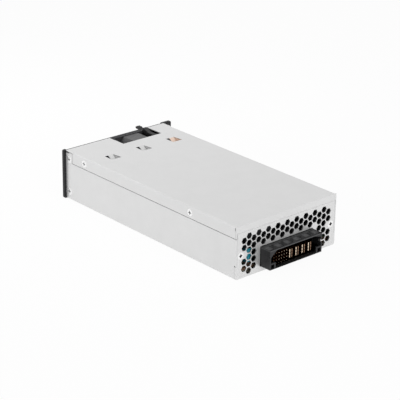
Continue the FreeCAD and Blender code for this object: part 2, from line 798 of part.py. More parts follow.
def frontBezel():
    shoulder = SIDE + " - bezelShoulder"
    left, right = "-bodyWidth / 2 - earLeft", "bodyWidth / 2 + earRight"
    plate = profile("XZ", [
        (left, "0"), (right, "0"), (right, "bodyHeight"),
        (shoulder, "bodyHeight"), (shoulder, "bodyHeight - bezelDip"),
        ("-(%s)" % shoulder, "bodyHeight - bezelDip"), ("-(%s)" % shoulder, "bodyHeight"),
        (left, "bodyHeight"),
    ], FACE, FRONT)
    soften(plate, "bezelCorner", (left, "0"), (right, "0"), (left, "bodyHeight"), (right, "bodyHeight"))
    lugs = []
    inside = "(handleSpan / 2 - handleWire - lugGap - lugWidth / 2)"
    for centre in (HANDLE_X + " + " + inside, HANDLE_X + " - " + inside):
        lug = block(around(centre, "lugWidth"), (HANDLE_Y, FACE), around(HANDLE_Z, "2 * lugRadius"))
        nose = rod("X", "lugRadius", "lugWidth", around(centre, "lugWidth")[0], HANDLE_Y, HANDLE_Z)
        lugs.append(fuse(lug, nose))
    fan = rod("Y", BORE + " + lapGap", "bezelThick + 2", FAN_X, FACE + " - 1", FAN_Z)
    inlet = block(around(INLET_X, "inletWidth + 2 * inletFlange + 2 * inletGap"),
                  (FACE + " - 1", FRONT + " + 1"),
                  around(INLET_Z, "inletHeight + 2 * inletLip + 2 * inletGap"))
    slot = block(around(LATCH_X, "latchWidth + 4 * latchGap"), (FACE + " - 1", FRONT + " + 1"),
                 (LATCH_TOP + " - latchTravel", "bodyHeight + 1"))
    lightHole = rod("Y", "pipeRadius + lapGap", "bezelThick + 2", LED_X, FACE + " - 1", LED_Z)
    bores = rod("X", "handleWire + runGap", "handleSpan + 4", HANDLE_X + " - handleSpan / 2 - 2",
                HANDLE_Y, HANDLE_Z)
    heads = fanCorners(lambda x, z: rod("Y", "fanHeadRadius + 0.5", "bezelThick + 2", x, FACE + " - 1", z))
    node("front_bezel", cut(fuse(plate, *lugs), fan, inlet, slot, lightHole, bores, *heads))


def turnedRun(points, radii):
    """A wire of straight runs with an arc of its own radius at each corner."""
    edges = []
    start = points[0]
    for i, radius in enumerate(radii, start=1):
        corner = points[i]
        into = (points[i - 1] - corner).normalize()
        away = (points[i + 1] - corner).normalize()
        half = into.getAngle(away) / 2
        step = radius / math.tan(half)
        first = corner + into * step
        last = corner + away * step
        middle = corner + (into + away).normalize() * (radius / math.sin(half) - radius)
        edges.append(Part.LineSegment(start, first).toShape())
        edges.append(Part.Arc(first, middle, last).toShape())
        start = last
    edges.append(Part.LineSegment(start, points[-1]).toShape())
    return Part.Wire(edges)


def tube(points, radii, radius):
    """A round bar or wire along straight runs joined by arcs."""
    ring = Part.Wire([Part.Circle(points[0], points[1] - points[0], radius).toShape()])
    return turnedRun(points, radii).makePipeShell([ring], True, True)


def pullHandle():
    """A wire bail whose ends turn inwards into the bezel's lugs."""
    arm = "handleSpan / 2"
    end = "(handleSpan / 2 - handleWire - lugGap - lugWidth - 0.4)"
    low = HANDLE_Z + " - handleDrop"
    places = [("-" + end, HANDLE_Z), ("-" + arm, HANDLE_Z), ("-" + arm, low),
              ("+" + arm, low), ("+" + arm, HANDLE_Z), ("+" + end, HANDLE_Z)]
    points = [spot(HANDLE_X + x, HANDLE_Y, z) for x, z in places]
    tight = value("handleWire + 0.2")
    bend = value("handleBend")
    node("pull_handle", feature("bail", tube(points, [tight, bend, bend, tight], value("handleWire"))))


def latch():
    press = LATCH_TOP + " + tabRise"
    arm = profile("YZ", [
        (PIVOT_Y + " + 3.2", PIVOT_Z + " - 2.2"), (PIVOT_Y + " + 3.2", PIVOT_Z + " + 2.2"),
        (PIVOT_Y + " - 3", LATCH_TOP), (FRONT + " + 7.5", LATCH_TOP),
        (FRONT + " + 2.2", LATCH_TOP + " + catchRise"), (FRONT + " + 0.6", LATCH_TOP + " + catchRise"),
        (FRONT + " + 0.6", LATCH_TOP), (FACE, LATCH_TOP),
        (FACE + " - tabStart", press), (FACE + " - tabReach + 0.6", press),
        (FACE + " - tabReach", press + " - 0.7"), (FACE + " - tabReach", press + " - pressThick + 0.7"),
        (FACE + " - tabReach + 0.6", press + " - pressThick"),
        (FACE + " - tabStart - 0.3", press + " - pressThick"),
        (FACE + " - 0.6", LATCH_TOP + " - latchThick"), (FRONT + " + 2", LATCH_TOP + " - latchThick - 0.6"),
        (PIVOT_Y + " - 3", LATCH_TOP + " - latchThick - 1"), (PIVOT_Y + " - 1.6", PIVOT_Z + " - 2.2"),
    ], *around(LATCH_X, "latchWidth"))
    bore = rod("X", "pivotRadius + runGap", "latchWidth + 2", LATCH_X + " - latchWidth / 2 - 1",
               PIVOT_Y, PIVOT_Z)
    peg = rod("Z", "springRadius - springWire", "2.2", LATCH_X, SPRING_Y, LATCH_TOP + " - latchThick - 2.4")
    node("latch_lever", fuse(cut(arm, bore), peg))
    inside, outside = "(latchWidth / 2 + latchGap)", "(latchWidth / 2 + latchGap + bracketSheet)"
    fore = FRONT + " + traySheet"
    outer = (LATCH_X + " - " + outside, LATCH_X + " + " + outside)
    ears = [profile("YZ", [
        (fore, BRACKET_FLOOR), (PIVOT_Y + " + 4", BRACKET_FLOOR),
        (PIVOT_Y + " + 4", PIVOT_Z + " + 2.8"), (PIVOT_Y + " - 4", PIVOT_Z + " + 2.8"),
        (PIVOT_Y + " - 7", BRACKET_FLOOR + " + 4"), (fore, BRACKET_FLOOR + " + 4"),
    ], *ends) for ends in ((outer[0], LATCH_X + " - " + inside), (LATCH_X + " + " + inside, outer[1]))]
    base = block(outer, (fore, PIVOT_Y + " + 4"), rising(BRACKET_FLOOR, "bracketSheet"))
    foot = block(outer, rising(fore, "bracketSheet"), rising(BRACKET_FLOOR + " - 6", "bracketSheet + 6"))
    pinHole = rod("X", "pivotRadius", "latchWidth + 6", LATCH_X + " - latchWidth / 2 - 3", PIVOT_Y, PIVOT_Z)
    seat = rod("Z", "springRadius - springWire", "1.6 + bracketSheet", LATCH_X, SPRING_Y, BRACKET_FLOOR)
    node("latch_bracket", fuse(cut(fuse(base, foot, *ears), pinHole), seat))
    node("latch_pin", rod("X", "pivotRadius", "2 * %s + 1.2" % outside, outer[0] + " - 0.6",
                          PIVOT_Y, PIVOT_Z))


def latchSpring():
    """A compression spring between the bracket and the lever."""
    half = value("springWire / 2")
    low = BRACKET_FLOOR + " + bracketSheet + springWire / 2"
    rise = value("(%s - latchThick - 0.9) - (%s) - springWire / 2" % (LATCH_TOP, low))
    coil = Part.makeHelix(rise / value("springTurns"), rise, value("springRadius"))
    start = FreeCAD.Vector(value("springRadius"), 0, 0)
    ring = Part.makePolygon([start + FreeCAD.Vector(x * half, 0, z * half)
                             for x, z in ((1, 0), (0, 1), (-1, 0), (0, -1), (1, 0))])
    spring = feature("spring", Part.Wire(coil.Edges).makePipeShell([ring], True, True))
    node("latch_spring", locate(spring, LATCH_X, SPRING_Y, low))


# ---- blind-mate connector

def connector():
    half = "connWidth / 2"
    shroud = block(("-" + half, half), (REAR + " - 3.4", MOUTH), ("connBottom", CONN_TOP))
    rearBody = block(("-%s + 0.6" % half, half + " - 0.6"), (CONN_FRONT, REAR + " - 3"),
                     ("boardTop", CONN_TOP + " - 0.8"))
    floor, roof = "connBottom + connFloor", CONN_TOP + " - connWall"
    blockTop = "connBottom + 5.1"
    cavity = profile("XZ", [
        ("-%s + 5.7" % half, floor), (half + " - 5.7", floor), (half + " - 5.7", blockTop),
        (half + " - connWall", blockTop), (half + " - connWall", "connBottom + 9.7"),
        (half + " - 6.6", roof), ("-%s + 8" % half, roof), ("-%s + connWall" % half, roof + " - 2"),
        ("-%s + connWall" % half, blockTop), ("-%s + 5.7" % half, blockTop),
    ], PIN_BASE, MOUTH + " + 1")
    pockets = both(lambda sign: block(spanX(sign, half + " - 4.3", half + " - 1.2"),
                                      (MOUTH + " - 5", MOUTH + " + 1"),
                                      ("connBottom + 0.7", "connBottom + 3.9")))
    keySlot = block(("-%s - 1" % half, "-%s + 3" % half), (MOUTH + " - 2.6", MOUTH + " + 1"),
                    ("connBottom + 8", "connBottom + 9.8"))
    pads = [block(around("%g * padPitch" % (i - 2.5), "padWidth"), rising(REAR + " + 2.2", "padLength"),
                  (CONN_TOP + " - padDepth", CONN_TOP + " + 1")) for i in range(6)]
    node("connector_housing", cut(fuse(shroud, rearBody), cavity, keySlot, *pads, *pockets))


def connectorContacts():
    pins = []
    for column in range(6):
        for line in range(4):
            x = "signalStart - %d * signalPitch" % column
            z = "pinHeight + (%g) * signalPitch" % (line - 1.5)
            across, up = around(x, "signalSize"), around(z, "signalSize")
            blade = block(across, (PIN_BASE, PIN_TIP + " - signalSize"), up)
            point = doc.addObject("Part::Wedge", "point")
            bind(point, Xmin="0", Ymin="0", Zmin="0", X2min="signalSize / 4", Z2min="signalSize / 4",
                 Xmax="signalSize", Ymax="signalSize", Zmax="signalSize", X2max="signalSize * 3 / 4",
                 Z2max="signalSize * 3 / 4")
            locate(point, across[0], PIN_TIP + " - signalSize", up[0])
            pins.append(fuse(blade, point))
    node("signal_pins", group(pins))
    contacts = []
    low, high = around("pinHeight", "bladeHeight")
    for index in range(4):
        for side in ("- bladeGap / 2", "+ bladeGap / 2"):
            centre = "powerStart - %d * powerPitch %s" % (index, side)
            leaf = block(around(centre, "bladeThick"), (PIN_BASE, PIN_TIP), (low, high))
            gaps = [block(around(centre, "2"), (PIN_BASE + " + 1.2", PIN_TIP + " + 1"),
                          around("%s + bladeHeight * %d / 3" % (low, n), "0.4")) for n in (1, 2)]
            contacts.append(cut(leaf, *gaps))
    node("power_blades", group(contacts))


# ---- inlet

def inletShape(width, height, low, high):
    """A bevelled inlet outline: two corners on the +X side are cut off."""
    left, right = around(INLET_X, width)
    bottom, top = around(INLET_Z, height)
    return profile("XZ", [
        (left, bottom), (right + " - inletBevel", bottom), (right, bottom + " + inletBevel"),
        (right, top + " - inletBevel"), (right + " - inletBevel", top), (left, top),
    ], low, high)


def inlet():
    back = FRONT + " + inletDepth"
    shell = inletShape("inletWidth", "inletHeight", FACE, back)
    rim = block(around(INLET_X, "inletWidth + 2 * inletFlange"), (FACE, FRONT),
                around(INLET_Z, "inletHeight + 2 * inletLip"))
    socket = inletShape("socketWidth", "socketHeight", FACE + " - 1", FACE + " + socketDepth")
    node("inlet_housing", cut(fuse(shell, rim), socket))
    prongs = []
    leads = []
    start = back + " + sleeveLength"
    near = start + " + leadBend + lapGap"
    far = near + " + 2 * leadRadius + 0.8"
    for x, z, y in (("prongStagger", "0", near), ("-prongStagger", "prongPitch", far),
                    ("-prongStagger", "-prongPitch", near)):
        cx, cz = "%s + (%s)" % (INLET_X, x), "%s + (%s)" % (INLET_Z, z)
        prongs.append(block(around(cx, "prongWidth"), (FACE + " + prongRecess", FACE + " + socketDepth"),
                            around(cz, "prongThick")))
        prongs.append(block(around(cx, "tabWidth"), rising(back, "tabLength"), around(cz, "tabThick")))
        sleeve = block(around(cx, "tabWidth + 1.2"), rising(back + " + 0.4", "sleeveLength"),
                       around(cz, "tabThick + 1.6"))
        seat = block(around(cx, "tabWidth + 2 * lapGap"), (back, back + " + tabLength + lapGap"),
                     around(cz, "tabThick + 2 * lapGap"))
        route = [spot(cx, start, cz), spot(cx, y, cz), spot(cx, y, "boardTop")]
        wire = feature("wire", tube(route, [value("leadBend")], value("leadRadius")))
        leads.append(fuse(cut(sleeve, seat), wire))
    node("inlet_pins", group(prongs))
    node("inlet_leads", group(leads))


# ---- fan

def fanHousing():
    across, up = around(FAN_X, FAN_SIZE), around(FAN_Z, FAN_SIZE)
    flanges = [block(across, rising(FAN_FRONT + back, "fanFlange"), up)
               for back in ("", " + fanDepth - fanFlange")]
    duct = rod("Y", FAN_SIZE + " / 2", "fanDepth", FAN_X, FAN_FRONT, FAN_Z)
    bore = rod("Y", BORE, "fanDepth + 2", FAN_X, FAN_FRONT + " - 1", FAN_Z)
    holes = fanCorners(lambda x, z: rod("Y", "fanScrewRadius + threadGap", "fanDepth + 2", x,
                                        FAN_FRONT + " - 1", z))
    shell = cut(fuse(duct, *flanges), bore, *holes)
    hub = rod("Y", "hubRadius", "hubPlate", FAN_X, FAN_HUB, FAN_Z)
    reach, web = "2 * (%s) + fanWall" % BORE, "spokeWidth"
    spokes = [block(around(FAN_X, wide), rising(FAN_HUB, "spokeThick"), around(FAN_Z, tall))
              for wide, tall in ((reach, web), (web, reach))]
    post = rod("Y", "bearingRadius + 1", "postLength", FAN_X, FAN_HUB + " - postLength", FAN_Z)
    well = rod("Y", "bearingRadius", "postLength + 3", FAN_X, FAN_HUB + " - postLength - 1", FAN_Z)
    node("fan_housing", cut(fuse(shell, hub, post, *spokes), well))
    rings = []
    for y in (FAN_HUB + " - postLength + 0.2", FAN_HUB + " + 1.4 - bearingLength"):
        rings.append(cut(rod("Y", "bearingRadius", "bearingLength", FAN_X, y, FAN_Z),
                         rod("Y", "shaftRadius + runGap", "bearingLength + 2", FAN_X, y + " - 1", FAN_Z)))
    node("fan_bearings", group(rings))
    statorY = FAN_HUB + " - statorLength - 2.5"
    node("fan_stator", cut(rod("Y", "statorRadius", "statorLength", FAN_X, statorY, FAN_Z),
                           rod("Y", "bearingRadius + 1 + lapGap", "statorLength + 2", FAN_X,
                               statorY + " - 1", FAN_Z)))
    node("fan_shaft", rod("Y", "shaftRadius", "postLength + 5", FAN_X, FAN_HUB + " - postLength - 4", FAN_Z))


def bladeSection(radius, angle, chord):
    """A cambered blade outline at one radius, set at its pitch angle."""
    thick = value("fanBladeThick")
    corners = [(-chord / 2, 0), (0, chord * 0.09), (chord / 2, 0)]
    lean = math.radians(angle)

    def turned(u, v):
        along = u * math.cos(lean) - v * math.sin(lean)
        across = u * math.sin(lean) + v * math.cos(lean)
        return FreeCAD.Vector(along, across, radius)

    upper = [turned(u, v + thick / 2) for u, v in corners]
    lower = [turned(u, v - thick / 2) for u, v in reversed(corners)]
    return Part.Wire([
        Part.Arc(*upper).toShape(), Part.LineSegment(upper[-1], lower[0]).toShape(),
        Part.Arc(*lower).toShape(), Part.LineSegment(lower[-1], upper[0]).toShape(),
    ])


def fanImpeller():
    hubRadius = value("hubRadius")
    tip = value(BORE + " - tipGap")
    span = tip - hubRadius
    start = spot(FAN_X, FAN_FRONT + " + 1.6", FAN_Z)
    along = ALONG["Y"]
    cup = Part.makeCylinder(hubRadius, 19, start, along)
    hollow = Part.makeCylinder(value("hubRadius - hubWall"), 18, start + along * 1.8, along)
    boss = Part.makeCylinder(value("shaftRadius + 1.3"), 3, start + along * 0.4, along)
    shaftHole = Part.makeCylinder(value("shaftRadius"), 30, start + along * 0.8, along)
    blade = Part.makeLoft([
        bladeSection(hubRadius - 0.5, value("rootAngle"), 1.6 * span),
        bladeSection(tip - 0.1, value("tipAngle"), 1.9 * span),
    ], True, True)
    count = int(value("bladeCount"))
    blades = []
    for i in range(count):
        copy = blade.copy()
        copy.rotate(ORIGIN, along, i * 360 / count)
        copy.translate(start + along * 9.4)
        blades.append(copy)
    keep = Part.makeCylinder(tip, 21, start, along)
    shape = cup.fuse(blades).common(keep).cut(hollow).fuse(boss).cut(shaftHole)
    node("fan_impeller", feature("impeller", shape.removeSplitter()))


def fanScrews():
    def screw(x, z):
        head = rod("Y", "fanHeadRadius", "fanHeadDepth", x, FRONT + " - fanHeadDepth - 0.1", z)
        shank = rod("Y", "fanScrewRadius", "9", x, FRONT + " - 0.4", z)
        return fuse(head, shank)
    node("fan_screws", group(fanCorners(screw)))


def fanLead():
    """The fan's lead from a rear spoke to its plug on the board."""
    x = "%s - %s / 2 + fanLeadInset" % (FAN_X, FAN_SIZE)
    y = BOARD_FRONT + " + 3.5"
    plugTop = "boardTop + plugTall"
    node("fan_plug", block(around(x, "plugTall"), around(y, "4"), ("boardTop", plugTop)))
    route = [spot(x, FAN_HUB + " + spokeThick", FAN_Z), spot(x, y, FAN_Z), spot(x, y, plugTop)]
    node("fan_lead", feature("lead", tube(route, [value("fanLeadBend")], value("fanLeadRadius"))))


# ---- circuit board and its parts

BOARD_POSTS = [
    (LATCH_X, FRONT + " + 11.5"), (SIDE + " - 12.25", BOARD_FRONT + " + 8"),
    ("-%s + 6.65" % SIDE, FRONT + " + 96.5"), (SIDE + " - 6.65", FRONT + " + 90"),
    ("-%s + 8.25" % SIDE, BOARD_REAR + " - 22"), (SIDE + " - 8.25", BOARD_REAR + " - 22"),
]


def boardOutline(margin, low, high):
    """The board's outline with its wing under the inlet, grown by a margin."""
    left, right = "-(%s) - %s" % (BOARD_SIDE, margin), "%s + %s" % (BOARD_SIDE, margin)
    wing, step = "%s + %s" % (WING_RIGHT, margin), "%s - %s" % (BOARD_FRONT, margin)
    return profile("XY", [
        (left, WING_FRONT), (wing, WING_FRONT), (wing, step), (right, step),
        (right, BOARD_REAR), (left, BOARD_REAR),
    ], low, high)


def mainBoard():
    holes = [rod("Z", "screwRadius + 0.15", "4", x, y, BOARD_UNDER + " - 1") for x, y in BOARD_POSTS]
    node("main_board", cut(boardOutline("0", BOARD_UNDER, "boardTop"), *holes))
    posts = []
    screws = []
    for x, y in BOARD_POSTS:
        post = hexagon("Z", "postRadius", BOARD_UNDER + " - traySheet", x, y, "traySheet")
        posts.append(cut(post, rod("Z", SCREW_HOLE, "6", x, y, "traySheet + 0.4")))
        head = rod("Z", "postHeadRadius", "postHeadTall", x, y, "boardTop")
        shank = rod("Z", "screwRadius", "boardThick + 1.6", x, y, BOARD_UNDER + " - 1.5")
        slot = block(around(x, "postHeadRadius"), around(y, "2 * crossHalf"),
                     ("boardTop + postHeadTall - 0.7", "boardTop + postHeadTall + 1"))
        screws.append(cut(fuse(head, shank), slot))
    node("board_standoffs", group(posts))
    node("board_screws", group(screws))
    openings = [rod("Z", "postRadius + 0.4", "3", x, y, "traySheet - 1") for x, y in BOARD_POSTS]
    film = boardOutline("filmMargin", "traySheet", "traySheet + filmThick")
    node("insulator_sheet", cut(film, *openings))


def flatTurn(low, high, half, wire, width):
    """One turn of flat wire round a core's section, which reaches low to high along Y and
    half to each side along X."""
    outside = Part.makeBox(2 * (half + wire), high - low + 2 * wire, width,
                           FreeCAD.Vector(-half - wire, low - wire, -width / 2))
    uprights = [edge for edge in outside.Edges if abs(edge.tangentAt(0).z) > 0.9]
    inside = Part.makeBox(2 * half, high - low, 2 * width, FreeCAD.Vector(-half, low, -width))
    return outside.makeFillet(wire * 0.8, uprights).cut(inside)


def winding(turn, axis, angles, centre):
    """Copies of a turn at angles about a ring core's axis."""
    turns = []
    for angle in angles:
        copy = turn.copy()
        copy.rotate(ORIGIN, ALONG[axis], angle)
        copy.translate(centre)
        turns.append(copy)
    return feature("winding", Part.makeCompound(turns))


def lineChoke():
    """A toroid that stands on edge in a cradle, with two windings."""
    x, y = "(-bodyWidth / 2 + chokeInset)", FRONT + " + chokeSetback"
    z = "boardTop + chokeRadius + chokeStand"
    left = x + " - chokeThick / 2"
    node("line_choke_core", cut(rod("X", "chokeRadius", "chokeThick", left, y, z),
                                rod("X", "chokeHole", "chokeThick + 2", left + " - 1", y, z)))
    cradle = block(around(x, "chokeThick + 3.7"), around(y, "10"), rising("boardTop", "4"))
    hollow = rod("X", "chokeRadius + runGap", "chokeThick + 2 * runGap", left + " - runGap", y, z)
    node("line_choke_base", cut(cradle, hollow))
    turn = flatTurn(value("chokeHole - chokeFit"), value("chokeRadius + chokeFit"),
                    value("chokeThick / 2 + chokeFit"), value("chokeWire"), value("chokeWire"))
    count = int(value("chokeTurns"))
    angles = [side + i * 124 / (count - 1) for side in (-62, 118) for i in range(count)]
    node("line_choke_windings", winding(turn, "X", angles, spot(x, y, z)))


def boostChoke():
    """A toroid that lies flat, wound all the way round."""
    x, y, low = "(bodyWidth / 2 - boostInset)", FRONT + " + boostSetback", "boardTop + boostStand"
    node("boost_choke_core", cut(rod("Z", "boostRadius", "boostThick", x, y, low),
                                 rod("Z", "boostHole", "boostThick + 2", x, y, low + " - 1")))
    turn = flatTurn(value("boostHole - chokeFit"), value("boostRadius + chokeFit"),
                    value("boostThick / 2 + chokeFit"), value("boostWire"), 2.4)
    turn.rotate(ORIGIN, ALONG["Y"], 90)
    count = int(value("boostTurns"))
    angles = [6 + i * 360 / count for i in range(count)]
    node("boost_choke_winding", winding(turn, "Z", angles, spot(x, y, low + " + boostThick / 2")))


def inputParts():
    node("x_capacitors", group([
        block(rising("-20", "boxCapLong"), rising(y, "boxCapWide"), rising("boardTop", "boxCapTall"))
        for y in (FRONT + " + 36", FRONT + " + 60")]))
    discs = []
    discY = FRONT + " + 49"
    for x in ("-18", "-8"):
        disc = rod("Y", "discRadius", "discThick", x, discY, "boardTop + discRadius + 1")
        legs = [rod("Z", "legRadius", "3", "%s %s 2.5" % (x, side), discY + " + discThick / 2", "boardTop")
                for side in "+-"]
        discs.append(fuse(disc, *legs))
    node("y_capacitors", group(discs))
    left, y, z = INLET_RIGHT + " + 14.5", FRONT + " + 43", "boardTop + fuseRadius + 1.4"
    body = rod("X", "fuseRadius", "fuseLength", left, y, z)
    ends = [left + " - 1", left + " + fuseLength + 1 - fuseCap"]
    caps = [rod("X", "fuseRadius + 0.4", "fuseCap", x, y, z) for x in ends]
    clips = [block(rising(x + " + 1", "3"), around(y, "2 * fuseRadius - 0.4"), ("boardTop", z))
             for x in ends]
    node("input_fuse", fuse(body, *caps, *clips))
    y = FRONT + " + 77.6"
    bridge = block(around("0", "bridgeWide"), around(y, "bridgeThick"),
                   rising("boardTop + 1.5", "bridgeTall"))
    legs = [block(around("bridgeWide * %g" % share, "1.2"), around(y, "0.8"), ("boardTop", "boardTop + 2"))
            for share in (-0.375, -0.125, 0.125, 0.375)]
    node("bridge_rectifier", fuse(bridge, *legs))


def heatsink(label, sign, low, high):
    """A plate with fins on its outer face, and the transistors along its inner face."""
    top = COVER_UNDER + " - sinkClearance"
    plate = block(spanX(sign, SINK_X + " - sinkPlate / 2", SINK_X + " + sinkPlate / 2"), (low, high),
                  ("boardTop", top))
    count = int(value(top + " - boardTop - finThick") // value("finPitch")) + 1
    fins = [block(spanX(sign, SINK_X, SINK_X + " + sinkPlate / 2 + finReach"), (low, high),
                  ("%s - finThick - finPitch * %d" % (top, i), "%s - finPitch * %d" % (top, i)))
            for i in range(count)]
    node(label + "_heatsink", fuse(plate, *fins))
    room = value("(%s) - (%s)" % (high, low))
    count = int((room - value("packagePitch")) // value("packagePitch")) + 1
    packages = [block(spanX(sign, SINK_X + " - sinkPlate / 2 - packageThick", SINK_X + " - sinkPlate / 2"),
                      rising("%s + 2 + packagePitch * %d" % (low, i), "packageWide"),
                      rising("boardTop + 4", "packageTall")) for i in range(count)]
    node(label + "_transistors", group(packages))


def transformer():
    x, y = "3", REAR + " - 71"
    deep = around(y, "coreLong")
    levels = ["boardTop", "boardTop + coreTall - coreYoke"]
    yokes = [block(around(x, "coreWide"), deep, rising(z, "coreYoke")) for z in levels]
    inside = ("boardTop + coreYoke", "boardTop + coreTall - coreYoke")
    side = "(coreWide - coreLeg) / 2"
    legs = [block(around(centre, width), deep, inside) for centre, width in (
        ("%s - %s" % (x, side), "coreLeg"), (x, "coreMiddle"), ("%s + %s" % (x, side), "coreLeg"))]
    node("transformer_core", fuse(*yokes, *legs))
    level = (inside[0] + " + bobbinGap", inside[1] + " - bobbinGap")
    shell = block(around(x, "coreWide - 2 * coreLeg - 2 * bobbinGap"),
                  around(y, "coreLong + 2 * bobbinEnd"), level)
    hole = block(around(x, "coreMiddle + 2 * bobbinGap"), around(y, "coreLong + 2 * bobbinGap"),
                 ("boardTop", "boardTop + coreTall"))
    node("transformer_winding", cut(shell, hole))


def can(x, y, radius, height):
    """A capacitor can with a bevelled crimp at its foot."""
    foot = taper("Z", radius + " - 0.5", radius, "0.8", x, y, "boardTop")
    return fuse(foot, rod("Z", radius, height + " - 0.8", x, y, "boardTop + 0.8"))


def outputParts():
    x, y = "-%s + bulkInset" % SIDE, FRONT + " + 82"
    tall = "(%s - boardTop - bulkClearance)" % COVER_UNDER
    node("bulk_capacitors", group([can(x, along, "bulkRadius", tall) for along in (y, y + " + bulkPitch")]))
    node("output_choke", block(around("1", "outChokeWide"), around(REAR + " - 36", "outChokeLong"),
                               rising("boardTop", "outChokeTall")))
    places = [(SIDE + " - 19.05", "9.4"), ("connWidth / 2 + 7", "18.8"), ("-connWidth / 2 - 7.15", "9.4"),
              ("-%s + 13.25" % SIDE, "18.8"), ("-22", "23.6"), ("22", "23.6")]
    node("output_capacitors", group([can(x, REAR + " - " + back, "outCapRadius", "outCapHeight")
                                     for x, back in places]))
    node("output_busbars", group([
        block(around(x, "busWidth"), (REAR + " - 24.5", CONN_FRONT + " - 0.4"),
              rising("boardTop", "busThick")) for x in ("-13", "-1")]))
    inner, outer = "(%s - cardInset - cardThick)" % SIDE, SIDE + " - cardInset"
    card = block((inner, outer), (REAR + " - 70", REAR + " - 31"),
                 rising("boardTop + headerTall", "cardTall"))
    chip = block((inner + " - chipThick", inner), (REAR + " - 56", REAR + " - 46"),
                 rising("boardTop + 11", "9"))
    node("control_board", fuse(card, chip))
    node("control_header", block((inner + " - 1", outer + " + 0.8"), (REAR + " - 64", REAR + " - 36"),
                                 rising("boardTop", "headerTall")))


def statusLight():
    pipe = rod("Y", "pipeRadius", "bezelThick + pipeLength", LED_X, FACE, LED_Z)
    collar = rod("Y", "pipeRadius + 0.7", "1.2", LED_X, FRONT + " + traySheet + lapGap", LED_Z)
    node("light_pipe", fuse(pipe, collar))
    lampY = FRONT + " + pipeLength"
    dome = rod("Y", "pipeRadius", "1.7", LED_X, lampY + " + 0.3", LED_Z)
    stand = block(around(LED_X, "4"), (lampY + " + 2", lampY + " + 3.6"), ("boardTop", LED_Z + " + 2"))
    node("status_led", fuse(dome, stand))


chassisTray()
topCover()
rearPanel()
frontPanel()
frontBezel()
pullHandle()
latch()
latchSpring()
screwsAndNuts()
connector()
connectorContacts()
inlet()
fanHousing()
fanImpeller()
fanScrews()
fanLead()
mainBoard()
lineChoke()
boostChoke()
inputParts()
heatsink("primary", 1, FRONT + " + 84", REAR + " - 60")
heatsink("secondary", -1, FRONT + " + 128", REAR + " - 28")
transformer()
outputParts()
statusLight()

doc.recompute()
for thing in doc.Objects:
    if "Invalid" in thing.State or "Error" in thing.State:
        raise RuntimeError("%s failed: %s" % (thing.Label, thing.State))
for thing in nodes:
    if thing.Shape.isNull() or not thing.Shape.isValid():
        raise RuntimeError("bad shape: " + thing.Label)

os.makedirs("parts", exist_ok=True)
for thing in nodes:
    thing.Shape.exportStep("parts/%s.step" % thing.Label)
    print(thing.Label, len(thing.Shape.Solids), round(thing.Shape.Volume, 1))
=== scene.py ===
import json
import math
import bmesh
import bpy
from mathutils import Matrix, Vector


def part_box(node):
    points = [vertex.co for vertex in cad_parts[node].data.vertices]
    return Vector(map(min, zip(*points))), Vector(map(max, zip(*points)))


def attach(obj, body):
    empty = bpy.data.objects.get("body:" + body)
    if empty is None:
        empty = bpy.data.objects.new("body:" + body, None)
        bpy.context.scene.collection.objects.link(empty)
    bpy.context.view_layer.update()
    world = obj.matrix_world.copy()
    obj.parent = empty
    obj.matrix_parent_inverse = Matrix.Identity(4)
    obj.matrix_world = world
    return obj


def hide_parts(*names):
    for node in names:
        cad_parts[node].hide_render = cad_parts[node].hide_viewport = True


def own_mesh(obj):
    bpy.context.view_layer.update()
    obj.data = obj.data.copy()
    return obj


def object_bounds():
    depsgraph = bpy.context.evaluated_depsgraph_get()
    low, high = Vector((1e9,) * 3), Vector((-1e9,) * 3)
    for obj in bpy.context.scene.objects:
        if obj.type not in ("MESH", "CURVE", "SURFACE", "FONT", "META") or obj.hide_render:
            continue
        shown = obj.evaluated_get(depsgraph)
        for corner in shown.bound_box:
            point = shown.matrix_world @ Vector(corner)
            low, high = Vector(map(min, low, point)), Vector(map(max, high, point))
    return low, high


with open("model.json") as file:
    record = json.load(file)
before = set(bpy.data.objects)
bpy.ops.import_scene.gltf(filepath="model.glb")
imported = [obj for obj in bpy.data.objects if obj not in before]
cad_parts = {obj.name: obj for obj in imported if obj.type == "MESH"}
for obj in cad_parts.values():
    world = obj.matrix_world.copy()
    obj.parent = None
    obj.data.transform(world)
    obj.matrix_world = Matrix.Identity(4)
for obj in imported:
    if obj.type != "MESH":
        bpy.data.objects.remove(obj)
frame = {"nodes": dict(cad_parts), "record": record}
cadLow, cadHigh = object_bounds()
nodes = frame["nodes"]
bodyOf = {}
for bodyName, members in frame["record"]["behaviour"]["bodies"].items():
    for member in members:
        bodyOf[member] = bodyName
mm = 0.001
soft = 0.1 * mm    # how wide a mask's edge is
weld = 0.002 * mm    # corners nearer than this are one
print("frame loaded")


# the camera stands behind the connector end, looking down at the lid

camera = {
    "azimuth": 138.54,
    "elevation": 22.315,
    "roll": 0.82,
    "distance": 1.2058,
    "lens": 140.67,
    "shiftX": 0.00875,
    "shiftY": -0.01075,
    "clip": (0.05, 20),
}


def placeCamera():
    low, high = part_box("chassis_tray")
    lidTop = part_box("top_cover")[1].z
    aim = Vector(((low.x + high.x) / 2, (low.y + high.y) / 2, lidTop / 2))
    turn, rise = math.radians(camera["azimuth"]), math.radians(camera["elevation"])
    back = Vector((math.sin(turn) * math.cos(rise),
                   -math.cos(turn) * math.cos(rise),
                   math.sin(rise)))
    data = bpy.data.cameras.new("camera")
    data.lens = camera["lens"]
    data.shift_x = camera["shiftX"]
    data.shift_y = camera["shiftY"]
    data.clip_start, data.clip_end = camera["clip"]
    eye = bpy.data.objects.new("camera", data)
    bpy.context.scene.collection.objects.link(eye)
    level = (-back).to_track_quat("-Z", "Y").to_matrix().to_4x4()
    tilt = Matrix.Rotation(math.radians(camera["roll"]), 4, "Z")
    eye.matrix_world = Matrix.Translation(aim + back * camera["distance"]) @ level @ tilt
    bpy.context.scene.camera = eye


placeCamera()
print("camera placed")


